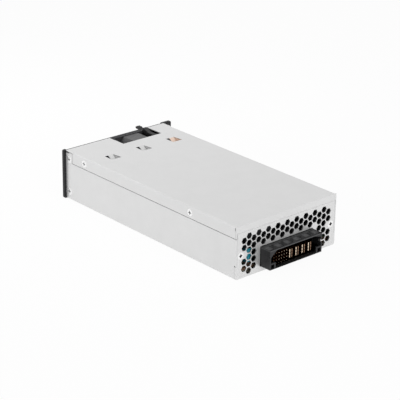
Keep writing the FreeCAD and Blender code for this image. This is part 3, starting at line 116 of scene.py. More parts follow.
# shader maths: one socket, with the operators that the materials use

class Value:
    def __init__(self, tree, socket=None):
        self.tree = tree
        self.socket = socket

    def node(self, kind, settings=None, inputs=None, output=0):
        made = self.tree.nodes.new("ShaderNode" + kind)
        for name, setting in (settings or {}).items():
            setattr(made, name, setting)
        for name, value in (inputs or {}).items():
            if isinstance(value, Value):
                self.tree.links.new(value.socket, made.inputs[name])
            else:
                made.inputs[name].default_value = value
        return Value(self.tree, made.outputs[output])

    def maths(self, operation, *values):
        return self.node("Math", {"operation": operation}, dict(enumerate(values)))

    def mix(self, factor, first, second):
        return self.node("Mix", {"data_type": "RGBA"}, {0: factor, 6: first, 7: second}, 2)

    def __add__(self, other):
        return self.maths("ADD", self, other)

    def __neg__(self):
        return self.maths("MULTIPLY", self, -1.0)

    def __sub__(self, other):
        return self.maths("SUBTRACT", self, other)

    def __rsub__(self, other):
        return self.maths("SUBTRACT", other, self)

    def __mul__(self, other):
        return self.maths("MULTIPLY", self, other)

    def __truediv__(self, other):
        return self.maths("DIVIDE", self, other)

    def __abs__(self):
        return self.maths("ABSOLUTE", self)

    __radd__ = __add__
    __rmul__ = __mul__


def shade(colour):
    return (*colour[:3], 1)


def tint(colour, amount):
    return tuple(min(1, part * amount) for part in colour[:3]) + (1,)


# what every finish starts from: object coordinates, and noise that the dictionaries below
# give as its size in metres, its detail and its roughness

class Finish:
    def __init__(self, name):
        self.material = bpy.data.materials.new(name)
        self.material.use_nodes = True
        tree = self.material.node_tree
        self.shader = tree.nodes["Principled BSDF"]
        self.value = Value(tree)
        self.place = self.value.node("TexCoord", output=3)

    # x, y and z of the point, as three values
    def axes(self):
        split = self.value.node("SeparateXYZ", inputs={0: self.place}).socket.node
        return [Value(self.value.tree, socket) for socket in split.outputs]

    # 0 up to low, 1 from high on, and a smooth rise between them
    def rise(self, value, low, high):
        return self.value.node("MapRange", {"interpolation_type": "SMOOTHSTEP"},
                               {0: value, 1: low, 2: high})

    # how far a point lies under the nearest outer face of a box
    def under(self, low, high):
        depths = []
        for axis, least, most in zip(self.axes(), low, high):
            depths += [axis - least, most - axis]
        nearest = depths.pop()
        for depth in depths:
            nearest = self.value.maths("MINIMUM", nearest, depth)
        return nearest

    def stretched(self, x, y, z):
        return self.value.node("Mapping", inputs={0: self.place, 3: (x, y, z)})

    def noise(self, grain, detail, rough, place=None):
        return self.value.node("TexNoise", inputs={
            "Vector": place or self.place, "Scale": 1 / grain,
            "Detail": detail, "Roughness": rough})

    # a colour mixed by a value between a darker and a lighter tint of itself
    def spread(self, factor, colour, amounts):
        least, most = amounts
        return self.value.mix(factor, tint(colour, least), tint(colour, most))

    def set(self, **sockets):
        for name, value in sockets.items():
            socket = self.shader.inputs[name.replace("_", " ")]
            if isinstance(value, Value):
                self.material.node_tree.links.new(value.socket, socket)
            else:
                socket.default_value = value

    def bump(self, height, depth):
        self.set(Normal=self.value.node("Bump", inputs={
            "Height": height, "Distance": depth, "Strength": 1.0}))
        return self


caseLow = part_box("chassis_tray")[0]
caseHigh = Vector((*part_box("rear_panel")[1].xy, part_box("top_cover")[1].z))
sheet = {
    "colour": (0.69, 0.69, 0.69),
    # colour of the painted shade on inner faces, cut edges, the lances' gaps and the ear seam
    "inside": (0.10, 0.10, 0.105),
    "metallic": 0.62,
    "roughness": 0.36,
    "stir": 0.08,    # how much the grain and the mottling each change the roughness
    "spread": (0.95, 1.05),
    "grain": (0.0004, 3, 0.6),
    "grainStretch": (1, 0.04, 1),
    "grainShare": 0.35,
    "grainTint": 1.06,
    "grainRelief": 0.012,
    "mottle": (0.012, 4, 0.55),
    "mottleRelief": 0.02,
    "wave": (0.055, 1, 0.4),
    "waveDepth": 0.00012,
    "skin": 0.0006,    # about this deep in the case the faces get the painted shade, which also darkens the bare steel of the cut edges
}
lances = {
    "ends": (-0.0705, -0.0585),    # along the lid
    "middle": -0.0007,    # of the one in the middle, across the lid
    "pitch": 0.0313,
    "reach": 0.045,
    "floor": 0.036,    # nothing lower belongs to a lance
    "tongueSide": 0.0014,    # from a lance's middle to the open gap beside its tongue
    "webStart": (-0.0034, -0.0692),    # where the web on the other side begins
    "webSlant": 0.1976,
    "crease": 0.5,    # mm of painted shadow in the fold along the web
    "creaseShade": 0.5,
    "copperFrom": 0.024,    # the last lance stands over the choke's copper, whose reflection is painted on it
    "copperGlow": (0.86, 0.62, 0.48),
    "copperShare": 0.8,
}
ears = {
    "top": (0.0390, 0.0400),    # a painted shadow line on the tray's front corners just under the lid
    "behind": 0.0955,
}


# the lid's lances: where they are, their painted shadows, and how much painted reflection of the
# choke's copper lies on them
def lanceMasks(f):
    x, y, z = f.axes()
    first, last = lances["ends"]
    window = f.rise(y, first, first + soft) * f.rise(last - y, 0.0, soft)
    window = window * f.rise(lances["reach"] - abs(x), 0.0, soft)
    window = window * f.rise(z, lances["floor"], lances["floor"] + soft)
    turn = f.value.maths("FRACT", (x - lances["middle"]) / lances["pitch"] + 10.5)
    across = (turn - 0.5) * lances["pitch"]
    gap = f.rise(across, lances["tongueSide"] - soft, lances["tongueSide"])
    webX, webY = lances["webStart"]
    fromWeb = across - webX + (y - webY) * lances["webSlant"]
    crease = f.rise(fromWeb, 0.03 * mm, 0.06 * mm)
    crease = crease * f.rise(lances["crease"] * mm - fromWeb, 0.0, 0.15 * mm)
    # painted shadow in the gap beside each tongue and in the fold along the web
    dark = (gap + crease * lances["creaseShade"]) * window
    dark = dark * f.rise(caseHigh.z - z, 0.05 * mm, 0.15 * mm)
    # painted reflection of the choke's copper on the last lance
    copper = window * f.rise(-x, lances["copperFrom"], lances["copperFrom"] + 0.5 * mm)
    copper = copper * f.rise(caseHigh.z - z, 0.05 * mm, 0.3 * mm) * (1 - dark)
    return window, dark, copper


# zinc-plated sheet: rolled grain along the length, faint mottling and a slight wave;
# the raw cut edges, bare steel, and the inner faces are darkened by painted shade
def zincSheet():
    f = Finish("zinc_sheet")
    grain = f.noise(*sheet["grain"], f.stretched(*sheet["grainStretch"]))
    mottle = f.noise(*sheet["mottle"])
    wave = f.noise(*sheet["wave"])
    # painted shade from this depth under the case's outer faces on
    deep = f.rise(f.under(caseLow, caseHigh), sheet["skin"] * 0.5, sheet["skin"] * 1.5)
    window, dark, copper = lanceMasks(f)
    tone = f.spread(mottle, sheet["colour"], sheet["spread"])
    tone = f.value.mix(grain * sheet["grainShare"], tone,
                       tint(sheet["colour"], sheet["grainTint"]))
    # painted shade on the inner faces and in the lances' gaps
    tone = f.value.mix(deep * (1 - window) + dark, tone, shade(sheet["inside"]))
    y, z = f.axes()[1:]
    bottom, top = ears["top"]
    # painted shadow line on the ear tops just under the lid
    earShadowLine = f.rise(z, bottom, bottom + soft) * f.rise(top - z, 0.0, soft)
    earShadowLine = earShadowLine * f.rise(-y, ears["behind"], ears["behind"] + soft)
    tone = f.value.mix(earShadowLine, tone, shade(sheet["inside"]))
    # the painted copper reflection
    tone = f.value.mix(copper * lances["copperShare"], tone, shade(lances["copperGlow"]))
    f.set(Base_Color=tone, Metallic=sheet["metallic"],
          Roughness=(mottle + grain) * sheet["stir"] + (sheet["roughness"] - sheet["stir"]))
    f.bump(wave + grain * sheet["grainRelief"] + mottle * sheet["mottleRelief"],
           sheet["waveDepth"])
    return f.material


# finishes of two tones that one noise mixes, while it also stirs the roughness, given as the
# least and the spread, and the relief, given as its depth in metres
mixes = {
    "plated_steel": {
        "noise": (0.0006, 3, 0.6),
        "tones": ((0.60, 0.60, 0.61), (0.74, 0.74, 0.75)),
        "roughness": (0.2, 0.16),
        "depth": 0.00001,
        "sockets": {"Metallic": 1.0},
    },
    "enamelled_copper": {
        "noise": (0.0015, 3, 0.6),
        "tones": ((0.62, 0.25, 0.10), (0.88, 0.44, 0.22)),
        "roughness": (0.24, 0.15),
        "depth": 0.00001,
        "sockets": {"Metallic": 0.85, "Coat_Weight": 0.4},
    },
    "painted_wire": {
        "noise": (0.0008, 2, 0.5),
        "tones": ((0.028, 0.028, 0.030), (0.05, 0.05, 0.052)),
        "roughness": (0.38, 0.12),
        "depth": 0.00003,
    },
    "cast_ferrite": {
        "noise": (0.0005, 4, 0.7),
        "tones": ((0.045, 0.045, 0.05), (0.09, 0.09, 0.095)),
        "roughness": (0.55, 0.2),
        "depth": 0.00004,
    },
    "extruded_aluminium": {
        "noise": (0.0005, 3, 0.6),
        "stretch": (1, 0.03, 1),    # draw lines along the sink
        "tones": ((0.55, 0.56, 0.57), (0.70, 0.71, 0.72)),
        "roughness": (0.3, 0.15),
        "depth": 0.00002,
        "sockets": {"Metallic": 1.0},
    },
    "clear_plastic": {
        "noise": (0.002, 2, 0.5),
        "tones": ((0.55, 0.85, 0.60), (0.75, 0.95, 0.78)),
        "roughness": (0.12, 0.1),
        "depth": 0.00001,
    },
}


def mixed(name):
    look = mixes[name]
    f = Finish(name)
    place = f.stretched(*look["stretch"]) if "stretch" in look else None
    noise = f.noise(*look["noise"], place)
    first, second = look["tones"]
    least, spread = look["roughness"]
    f.set(Base_Color=f.value.mix(noise, shade(first), shade(second)),
          Roughness=noise * spread + least, **look.get("sockets", {}))
    return f.bump(noise, look["depth"]).material


screws = {
    "bright": (0.915, 0.915, 0.915),
    "rearBright": (0.9, 0.9, 0.9),
    "spread": (0.94, 1.06),
    # colour of the painted shade in crosses and seats
    "dark": (0.04, 0.04, 0.045),
    "scuff": (0.0006, 3, 0.6),
    "scuffDepth": 0.00001,
    "sunk": 0.2,    # mm from the case's faces to where painted shade darkens a cross and its seat
    "head": 2.85,
    "pocket": 1.2,    # radius of the painted shade in the middle of a rear screw's cross
}


# screws: a bright head, with painted shade in the cross and down the shank, from a depth in mm
# on;
# a pocket is the middle and the radius in mm of a spot of painted shade, there on both sides
def screwSteel(name, bright, depthOf, start, pocket=None):
    f = Finish(name)
    scuff = f.noise(*screws["scuff"])
    sunk = f.rise(depthOf(f), start * mm, (start + 0.2) * mm)
    if pocket:
        centre, radius = pocket
        x, z = f.axes()[::2]
        aside, above = abs(x) - centre.x, z - centre.z
        far = f.value.maths("SQRT", aside * aside + above * above)
        sunk = f.value.maths("MAXIMUM", sunk, f.rise(radius * mm - far, 0.0, 0.15 * mm))
    tone = f.spread(scuff, bright, screws["spread"])
    f.set(Base_Color=f.value.mix(sunk, tone, shade(screws["dark"])), Metallic=0.9,
          Roughness=scuff * 0.1 + sunk * 0.3 + 0.22)
    f.bump(scuff, screws["scuffDepth"])
    return f.material


def inCase(f):
    return f.under(caseLow, caseHigh)


def rearScrewSteel():
    low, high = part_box("rear_screws")
    middle = Vector((high.x - screws["head"] * mm, high.y, (low.z + high.z) / 2))
    return screwSteel("rear_screw_steel", screws["rearBright"], inCase, screws["sunk"],
                      (middle, screws["pocket"]))


plastic = {
    "pebble": (0.00035, 2, 0.5),
    "pebbleDepth": 0.00002,
    "smear": (0.011, 3, 0.55),
    "spread": (0.8, 1.25),
}


# how rough moulded plastic is, from a least value on
def plasticRoughness(smear, pebble, least):
    return smear * 0.14 + pebble * 0.06 + least


def mouldedPlastic(name, colour, roughness, gloss):
    f = Finish(name)
    f.set(Specular_IOR_Level=gloss)
    pebble = f.noise(*plastic["pebble"])
    smear = f.noise(*plastic["smear"])
    f.set(Base_Color=f.spread(smear, colour, plastic["spread"]),
          Roughness=plasticRoughness(smear, pebble, roughness - 0.1))
    f.bump(pebble, plastic["pebbleDepth"])
    return f.material


connector = {
    "body": (0.012, 0.012, 0.013),
    "pad": (0.075, 0.075, 0.078),
    # colour of the painted shade in the mouth
    "mouth": (0.003, 0.003, 0.003),
    "spread": (0.8, 1.3),
    "smear": (0.009, 3, 0.55),
    "roughness": 0.34,
    "gloss": 0.4,
    "padTop": (0.8, 0.7),    # mm under the top in which the pads lie
    "padSink": (0.25, 0.35),
    "inner": (0.9, 1.6),    # mm from the outer faces to the painted shade inside
    "lip": 2.6,    # mm of the lower lip under painted shade
    "lipHalf": 20.5,
}


# the connector's moulding: paler recessed pads on its top, painted shade inside the mouth
def connectorPlastic():
    f = Finish("connector_black")
    low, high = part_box("connector_housing")
    pebble = f.noise(*plastic["pebble"])
    smear = f.noise(*connector["smear"])
    x, y, z = f.axes()
    deepest, least = connector["padTop"]
    top = f.rise(z, high.z - deepest * mm, high.z - least * mm)
    least, most = connector["padSink"]
    sunk = f.rise(high.z - z, least * mm, most * mm) * top
    # painted shade inside the mouth
    least, most = connector["inner"]
    inner = f.rise(f.under(low, high), least * mm, most * mm)
    tone = f.spread(smear, connector["body"], connector["spread"])
    tone = f.value.mix(sunk, tone, shade(connector["pad"]))
    # painted shade on the lower lip
    lip = f.rise(y, high.y - 0.5 * mm, high.y - 0.4 * mm)
    lip = lip * f.rise(low.z + connector["lip"] * mm - z, 0.0, soft)
    lip = lip * f.rise(connector["lipHalf"] * mm - abs(x), 0.0, soft)
    inner = f.value.maths("MAXIMUM", inner, lip)
    f.set(Base_Color=f.value.mix(inner, tone, shade(connector["mouth"])), Metallic=inner,
          Specular_IOR_Level=connector["gloss"],
          Roughness=plasticRoughness(smear, pebble, connector["roughness"]))
    f.bump(pebble, plastic["pebbleDepth"])
    return f.material


contacts = {
    "patch": (0.0012, 3, 0.6),
    "patchDepth": 0.00001,
    "gold": ((0.94, 0.70, 0.47), (1.0, 0.88, 0.72)),
    # colour of the painted shade back in the mouth
    "back": (0.16, 0.055, 0.018),
    "goldTip": 0.35,    # mm of a contact's tip kept out of the painted shade
    "powerStart": 0.00325,    # x of the middle of one pair of power leaves
    "powerPitch": 0.00635,
    "powerEnd": 0.0055,    # the signal pins stand beyond it
    "innerLeaf": 0.8,    # how much painted shade the second leaf of a pair gets
    "shaded": (0.0145, 0.0165),    # painted shade on the pins by the side wall
    "shade": 0.9,
    "reach": 1.8,    # mm that the contacts stand further out than their solids
    "tipDepth": 1.2,    # faces no further than this from the old tips are drawn out
}


# gold flash over copper: bright on the tips, with painted shade, darker and redder, back in the
# mouth
def goldContact():
    f = Finish("gold_contact")
    patch = f.noise(*contacts["patch"])
    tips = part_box("power_blades")[1].y + contacts["reach"] * mm
    x, y = f.axes()[:2]
    tip = contacts["goldTip"] * mm
    # painted shade back from the tips, on one leaf of each pair and by the side wall
    back = f.rise(tips - y, tip * 0.6, tip * 1.4)
    turn = f.value.maths("FRACT", (x - contacts["powerStart"]) / contacts["powerPitch"] + 10.5)
    inner = f.rise(0.5 - turn, -0.01, 0.01) * f.rise(contacts["powerEnd"] - x, 0.0, 0.5 * mm)
    back = f.value.maths("MAXIMUM", back, inner * contacts["innerLeaf"])
    back = f.value.maths("MAXIMUM", back, f.rise(x, *contacts["shaded"]) * contacts["shade"])
    dull, bright = contacts["gold"]
    tone = f.value.mix(patch, shade(dull), shade(bright))
    f.set(Base_Color=f.value.mix(back, tone, shade(contacts["back"])), Metallic=1.0,
          Roughness=(patch + back) * 0.15 + 0.18)
    f.bump(patch, contacts["patchDepth"])
    return f.material


laminate = {
    "runScale": 90.0,
    "runWidth": 0.05,
    "runs": ((0.03, 0.14, 0.06), (0.04, 0.18, 0.08), (0.02, 0.09, 0.04)),
    "mask": (0.05, 0.20, 0.09),
    "bare": (0.16, 0.09, 0.05),
    "bareStrip": 3.0,    # mm along the rear edge
    "fine": (0.002, 2, 0.5),
    "fineShare": 0.4,
    "fineDepth": 0.00003,
}


# green solder mask with darker copper runs under it, and bare brown laminate at the rear edge
def solderMask():
    f = Finish("solder_mask")
    first, second, between = laminate["runs"]
    runs = f.value.node("TexBrick", {"offset": 0.5}, {
        "Vector": f.place, "Scale": laminate["runScale"], "Mortar Size": laminate["runWidth"],
        "Color1": shade(first), "Color2": shade(second), "Mortar": shade(between)})
    fine = f.noise(*laminate["fine"])
    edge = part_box("main_board")[1].y - laminate["bareStrip"] * mm
    bare = f.rise(f.axes()[1], edge, edge + 0.2 * mm)
    tone = f.value.mix(fine * laminate["fineShare"], runs, shade(laminate["mask"]))
    f.set(Base_Color=f.value.mix(bare, tone, shade(laminate["bare"])),
          Roughness=fine * 0.1 + 0.3)
    f.bump(fine, laminate["fineDepth"])
    return f.material


sleeves = {
    "sag": (0.004, 2, 0.5),
    "sagDepth": 0.00005,
    "spread": (0.85, 1.15),
    "dark": (0.03, 0.03, 0.045),
    "black": (0.012, 0.012, 0.014),
    "foot": (0.05, 0.032, 0.022),
    "blue": (0.0, 0.24, 0.32),
    "blueBand": (0.0076, 0.0178),    # heights between which the blue shows
    "blueFrom": (0.026, 0.0855),    # only the can by the +X corner has the blue sleeve
    "blueDim": (0.0332, 0.0348),    # and painted shade darkens its far flank
    "dimming": 0.75,
}


# the corner can's sleeve, brown at its foot, blue over the band with painted shade on its far
# flank, and black above, and the black sleeves of the other cans
def blueBand(f, tone):
    x, y, z = f.axes()
    low, high = sleeves["blueBand"]
    fromX, fromY = sleeves["blueFrom"]
    # painted shade on the far flank
    dim = f.rise(x, *sleeves["blueDim"]) * sleeves["dimming"]
    tone = f.value.mix(dim, tone, shade(sleeves["black"]))
    tone = f.value.mix(f.rise(z, low - 0.2 * mm, low), shade(sleeves["foot"]), tone)
    tone = f.value.mix(f.rise(z, high, high + 0.2 * mm), tone, shade(sleeves["black"]))
    chosenCan = f.rise(x, fromX, fromX + soft) * f.rise(y, fromY, fromY + soft)
    return f.value.mix(chosenCan, shade(sleeves["black"]), tone)


# shrink sleeve on a can: a faint sag and a gloss
def shrinkSleeve(name, colour, banded=False):
    f = Finish(name)
    sag = f.noise(*sleeves["sag"])
    tone = f.spread(sag, colour, sleeves["spread"])
    if banded:
        tone = blueBand(f, tone)
    f.set(Base_Color=tone, Roughness=sag * 0.1 + 0.25, Coat_Weight=0.3)
    f.bump(sag, sleeves["sagDepth"])
    return f.material


# colour, roughness and gloss of the plain mouldings
plainMouldings = {
    "black_plastic": ((0.011, 0.011, 0.012), 0.45, 0.3),
    "fan_black": ((0.018, 0.018, 0.019), 0.5, 0.5),
    "epoxy_black": ((0.03, 0.03, 0.032), 0.6, 0.5),
    "wire_jacket": ((0.03, 0.03, 0.033), 0.45, 0.5),
    "plug_nylon": ((0.70, 0.68, 0.60), 0.4, 0.5),
    "film": ((0.72, 0.70, 0.58), 0.35, 0.5),
    "box_capacitor": ((0.70, 0.58, 0.14), 0.35, 0.5),
    "disc_capacitor": ((0.05, 0.20, 0.45), 0.3, 0.5),
    "ceramic_tube": ((0.80, 0.78, 0.72), 0.25, 0.5),
    "yellow_tape": ((0.75, 0.55, 0.08), 0.35, 0.5),
}

# finishes by slot
finishes = {
    "zinc_steel": zincSheet(),
    "bright_steel": mixed("plated_steel"),
    "connector_black": connectorPlastic(),
    "black_coat": mixed("painted_wire"),
    "gold_contact": goldContact(),
    "copper_wire": mixed("enamelled_copper"),
    "board_laminate": solderMask(),
    "ferrite": mixed("cast_ferrite"),
    "dark_sleeve": shrinkSleeve("dark_sleeve", sleeves["dark"]),
    "teal_sleeve": shrinkSleeve("teal_sleeve", sleeves["blue"], banded=True),
    "sink_aluminium": mixed("extruded_aluminium"),
    "clear_plastic": mixed("clear_plastic"),
}
for name, look in plainMouldings.items():
    finishes[name] = mouldedPlastic(name, *look)

# and the nodes that look different from the rest of their slot
sideScrew = screwSteel("screw_steel", screws["bright"], inCase, screws["sunk"])
ownFinish = {
    "inlet_housing": mouldedPlastic("inlet_black", (0.055, 0.055, 0.057), 0.38, 0.4),
    "cover_screws": sideScrew,
    "front_screws": sideScrew,
    "rear_screws": rearScrewSteel(),
}
slotOf = {row["node"]: row["material_slot"] for row in frame["record"]["subparts"]}


def dress(piece, material):
    piece.data.materials.clear()
    piece.data.materials.append(material)


for name, node in nodes.items():
    dress(node, ownFinish.get(name, finishes[slotOf[name]]))
print("finishes made")


# modelling helpers

def nothingSelected():
    if bpy.context.object and bpy.context.object.mode != "OBJECT":
        bpy.ops.object.mode_set(mode="OBJECT")
    bpy.ops.object.select_all(action="DESELECT")


def chosen(piece):
    nothingSelected()
    piece.select_set(True)
    bpy.context.view_layer.objects.active = piece


def applied(piece, kind, **settings):
    chosen(piece)
    modifier = piece.modifiers.new(kind.lower(), kind)
    for name, value in settings.items():
        setattr(modifier, name, value)
    bpy.ops.object.modifier_apply(modifier=modifier.name)


# in edit mode, selects the faces that a test picks
def pick(piece, test):
    bpy.ops.mesh.select_all(action="DESELECT")
    bpy.ops.mesh.select_mode(type="FACE")
    mesh = bmesh.from_edit_mesh(piece.data)
    for face in mesh.faces:
        face.select_set(test(face))
    mesh.select_flush_mode()
    bmesh.update_edit_mesh(piece.data)


def smoothed(piece, angle=32):
    chosen(piece)
    bpy.ops.object.shade_smooth_by_angle(angle=math.radians(angle))


# the body a piece rides on, its slot, which is not used, and the CAD nodes that it stands for
def placed(piece, body, slot, *replaced):
    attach(piece, body)
    if replaced:
        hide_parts(*replaced)


# the primitive made last, under its name and with its place, turn and size in its mesh
def settled(name):
    piece = bpy.context.object
    piece.name = name
    bpy.ops.object.transform_apply(location=True, rotation=True, scale=True)
    return piece


# a copy of a CAD node with its doubled corners joined up, left open in edit mode
def opened(name, ending):
    piece = bpy.data.objects.new(name + ending, nodes[name].data.copy())
    bpy.context.scene.collection.objects.link(piece)
    chosen(piece)
    bpy.ops.mesh.customdata_custom_splitnormals_clear()
    bpy.ops.object.mode_set(mode="EDIT")
    bpy.ops.mesh.select_all(action="SELECT")
    bpy.ops.mesh.remove_doubles(threshold=weld)
    return piece


easing = {
    "flatWithin": 0.4,    # degrees between triangles that become one face
    "sharpFrom": 35,    # degrees at which an edge is broken
    "segments": 2,
    "weight": 80,
}


# a CAD node with its triangles joined into faces and its edges broken by a small radius in mm
def eased(name, radius, flatten):
    piece = opened(name, "_eased")
    if flatten:
        bpy.ops.mesh.dissolve_limited(angle_limit=math.radians(easing["flatWithin"]))
    bpy.ops.object.mode_set(mode="OBJECT")
    applied(piece, "BEVEL", width=radius * mm, segments=easing["segments"],
            limit_method="ANGLE", angle_limit=math.radians(easing["sharpFrom"]),
            use_clamp_overlap=not flatten, harden_normals=False, miter_outer="MITER_ARC")
    smoothed(piece)
    applied(piece, "WEIGHTED_NORMAL", keep_sharp=True, weight=easing["weight"])
    placed(piece, bodyOf[name], slotOf[name], name)


# radius in mm, and whether flat triangles are joined first
easedNodes = {
    "front_bezel": (0.3, True),
    "inlet_housing": (0.3, True),
    "latch_lever": (0.25, True),
    "connector_housing": (0.2, False),
}
for name, (radius, flatten) in easedNodes.items():
    eased(name, radius, flatten)
    print("eased", name)


# the contacts drawn out to their full reach, with their feet left in the moulding
def drawnOut(name):
    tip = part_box(name)[1].y
    piece = opened(name, "_drawn")
    drawnFrom = tip - contacts["tipDepth"] * mm
    pick(piece, lambda face: min(corner.co.y for corner in face.verts) > drawnFrom)
    bpy.ops.transform.translate(value=(0, contacts["reach"] * mm, 0))
    bpy.ops.object.mode_set(mode="OBJECT")
    smoothed(piece)
    placed(piece, bodyOf[name], slotOf[name], name)


for name in ("power_blades", "signal_pins"):
    drawnOut(name)
    print("drawn out", name)


# a thin apron on the latch lever that closes its slot in the front panel from inside
apron = {
    "behind": 1.3,    # from the panel's outer face
    "wall": 0.7,
    "overlap": 1.15,    # past each side of the lever
    "foot": 33.9,    # clears the bracket's ears when the lever is pressed
    "top": 38.5,
    "rim": 0.6,
    "recess": 0.2,
    "round": 0.12,
}


def latchApron():
    low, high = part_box("latch_lever")
    middle = Vector(((low.x + high.x) / 2,
                     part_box("front_panel")[0].y + (apron["behind"] + apron["wall"] / 2) * mm,
                     (apron["foot"] + apron["top"]) / 2 * mm))
    size = (high.x - low.x + 2 * apron["overlap"] * mm, apron["wall"] * mm,
            (apron["top"] - apron["foot"]) * mm)
    nothingSelected()
    bpy.ops.mesh.primitive_cube_add(size=1, location=middle, scale=size)
    piece = settled("latch_apron")
    bpy.ops.object.mode_set(mode="EDIT")
    pick(piece, lambda face: face.normal.y > 0.9)
    bpy.ops.mesh.inset(thickness=apron["rim"] * mm)
    bpy.ops.transform.translate(value=(0, -apron["recess"] * mm, 0))
    bpy.ops.object.mode_set(mode="OBJECT")
    applied(piece, "BEVEL", width=apron["round"] * mm, segments=2)
    smoothed(piece)
    dress(piece, finishes["black_plastic"])
    placed(piece, bodyOf["latch_lever"], "black_plastic")


latchApron()
print("latch apron made")


# pan-head screws that hold the fan to the front plate
fanScrew = {
    "sides": 32,
    "head": 2.6,
    "headDepth": 1.4,
    "shank": 1.6,
    "rim": 0.5,    # rounding of the head's edge
    "rimSteps": 3,
    "slotLength": 3.0,
    "slotWidth": 0.75,
    "slotDepth": 0.8,
    "bright": (0.67, 0.67, 0.68),
    "sunk": 0.55,    # from the head's top to where painted shade darkens the cross
}


def fanScrews():
    low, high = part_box("fan_screws")
    reach = fanScrew["head"] * mm
    corners = [(x, z) for x in (low.x + reach, high.x - reach)
               for z in (low.z + reach, high.z - reach)]
    x, z = corners[0]
    depth = fanScrew["headDepth"] * mm
    nothingSelected()
    bpy.ops.mesh.primitive_cylinder_add(
        vertices=fanScrew["sides"], radius=reach, depth=depth,
        location=(x, low.y + depth / 2, z), rotation=(math.pi / 2, 0, 0))
    piece = settled("fan_screws_headed")
    bpy.ops.object.mode_set(mode="EDIT")
    pick(piece, lambda face: face.normal.y < -0.9)
    bpy.ops.mesh.bevel(offset=fanScrew["rim"] * mm, segments=fanScrew["rimSteps"],
                       affect="EDGES")
    pick(piece, lambda face: face.normal.y > 0.9)
    bpy.ops.mesh.inset(thickness=(fanScrew["head"] - fanScrew["shank"]) * mm)
    bpy.ops.mesh.extrude_region_move(
        TRANSFORM_OT_translate={"value": (0, high.y - low.y - depth, 0)})
    bpy.ops.object.mode_set(mode="OBJECT")
    long, narrow = fanScrew["slotLength"] * mm, fanScrew["slotWidth"] * mm
    for wide, tall in ((long, narrow), (narrow, long)):
        nothingSelected()
        bpy.ops.mesh.primitive_cube_add(size=1, location=(x, low.y, z),
                                        scale=(wide, 2 * fanScrew["slotDepth"] * mm, tall))
        slot = bpy.context.object
        applied(piece, "BOOLEAN", operation="DIFFERENCE", object=slot, solver="EXACT")
        chosen(slot)
        bpy.ops.object.delete()
    smoothed(piece)
    dress(piece, screwSteel("fan_screw_steel", fanScrew["bright"],
                            lambda f: f.axes()[1] - low.y, fanScrew["sunk"]))
    copies = []
    for toX, toZ in corners[1:]:
        copy = bpy.data.objects.new(piece.name, piece.data.copy())
        bpy.context.scene.collection.objects.link(copy)
        copy.data.transform(Matrix.Translation((toX - x, 0, toZ - z)))
        copies.append(copy)
    chosen(piece)
    for copy in copies:
        copy.select_set(True)
    bpy.ops.object.join()
    placed(piece, bodyOf["fan_screws"], slotOf["fan_screws"], "fan_screws")


fanScrews()
print("fan screws made")


# the latch's return spring: round wire wound up from its seat
spring = {
    "wire": 0.45,
    "wireSides": 10,
    "turns": 4,
    "steps": 20,
    "looser": 0.1,    # added to the coil's radius
    "pressed": 0.78,    # share of its height at full press
}


def latchSpring():
    low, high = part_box("latch_spring")
    wire = spring["wire"] * mm
    coil = (high.y - low.y - wire) / 2 + spring["looser"] * mm
    seat = Vector(((low.x + high.x) / 2, (low.y + high.y) / 2, low.z + wire / 2))
    nothingSelected()
    bpy.ops.mesh.primitive_circle_add(
        vertices=spring["wireSides"], radius=wire / 2, location=(coil, 0, 0),
        rotation=(math.pi / 2, 0, 0))
    piece = settled("latch_spring_wound")
    applied(piece, "SCREW", axis="Z", angle=math.tau, iterations=spring["turns"],
            steps=spring["steps"], screw_offset=(high.z - low.z - wire) / spring["turns"],
            use_normal_calculate=True)
    bpy.ops.object.mode_set(mode="EDIT")
    bpy.ops.mesh.select_all(action="SELECT")
    bpy.ops.mesh.remove_doubles(threshold=weld / 2)
    bpy.ops.mesh.fill_holes(sides=spring["wireSides"] + 2)
    bpy.ops.mesh.select_all(action="SELECT")
    bpy.ops.mesh.normals_make_consistent(inside=False)
    bpy.ops.transform.translate(value=seat)
    bpy.ops.object.mode_set(mode="OBJECT")
    smoothed(piece, 60)
    dress(piece, finishes["bright_steel"])
    placed(piece, bodyOf["latch_spring"], slotOf["latch_spring"], "latch_spring")
    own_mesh(piece)


latchSpring()
print("latch spring wound")


# the studio: floor, backdrop and lamps

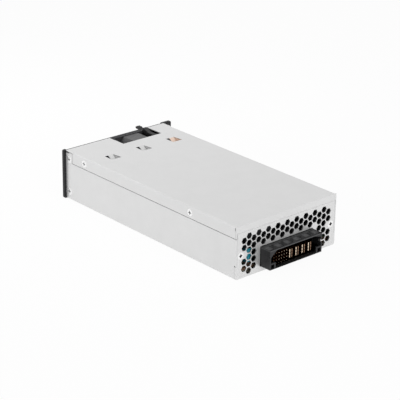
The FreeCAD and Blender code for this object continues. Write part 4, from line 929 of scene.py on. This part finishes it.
studio = {
    "floorSize": 6.0,
    "floorTone": (0.86, 0.86, 0.86),
    "floorGlow": 0.95,
    "world": 0.39,
    "white": (1, 1, 1),
    "lampAim": (0, 0, 0.02),
}
lamps = {
    "key": {"place": (0.03, -0.34, 0.34), "width": 0.3, "power": 0.85},
    "rear": {"place": (0.1, 1.6, 0.4), "width": 1.4, "power": 20.0},
    "side": {"place": (1.7, -0.4, 0.4), "width": 1.4, "power": 18.0},
}


# 1 for what the camera sees, straight, mirrored or through glass, and 0 for what only lights
def looked(value):
    path = value.node("LightPath").socket.node
    seen, mirrored, through = (Value(value.tree, path.outputs[name]) for name in (
        "Is Camera Ray", "Is Glossy Ray", "Is Transmission Ray"))
    return value.maths("MINIMUM", seen + mirrored + through, 1.0)


# white where it is looked at, and dimmer as a light
def studioWorld():
    world = bpy.data.worlds.new("studio")
    bpy.context.scene.world = world
    world.use_nodes = True
    tree = world.node_tree
    strength = looked(Value(tree)) * (1 - studio["world"]) + studio["world"]
    background = tree.nodes["Background"]
    background.inputs["Color"].default_value = shade(studio["white"])
    tree.links.new(strength.socket, background.inputs["Strength"])


# nearly white where it is looked at, and matt enough to keep a faint shadow
def studioFloor():
    nothingSelected()
    bpy.ops.mesh.primitive_plane_add(size=studio["floorSize"], location=(0, 0, cadLow.z))
    floor = settled("floor")
    material = bpy.data.materials.new("floor")
    material.use_nodes = True
    tree = material.node_tree
    value = Value(tree)
    tree.nodes.remove(tree.nodes["Principled BSDF"])
    matt = value.node("BsdfDiffuse", inputs={"Color": shade(studio["floorTone"])})
    glow = value.node("Emission", inputs={"Color": shade(studio["white"]), "Strength": 1.0})
    blend = value.node("MixShader", inputs={
        0: looked(value) * studio["floorGlow"], 1: matt, 2: glow})
    tree.links.new(blend.socket, tree.nodes["Material Output"].inputs["Surface"])
    dress(floor, material)


def lamp(name, place, width, power):
    data = bpy.data.lights.new(name, "AREA")
    data.shape = "DISK"
    data.size = width
    data.energy = power
    light = bpy.data.objects.new(name, data)
    bpy.context.scene.collection.objects.link(light)
    light.location = place
    toAim = Vector(studio["lampAim"]) - Vector(place)
    light.rotation_euler = toAim.to_track_quat("-Z", "Y").to_euler()
    light.visible_glossy = False    # the metal mirrors the white surroundings, not the lamps


studioWorld()
studioFloor()
for name, settings in lamps.items():
    lamp(name, **settings)
bpy.context.scene.view_settings.view_transform = "Standard"
print("studio lit")
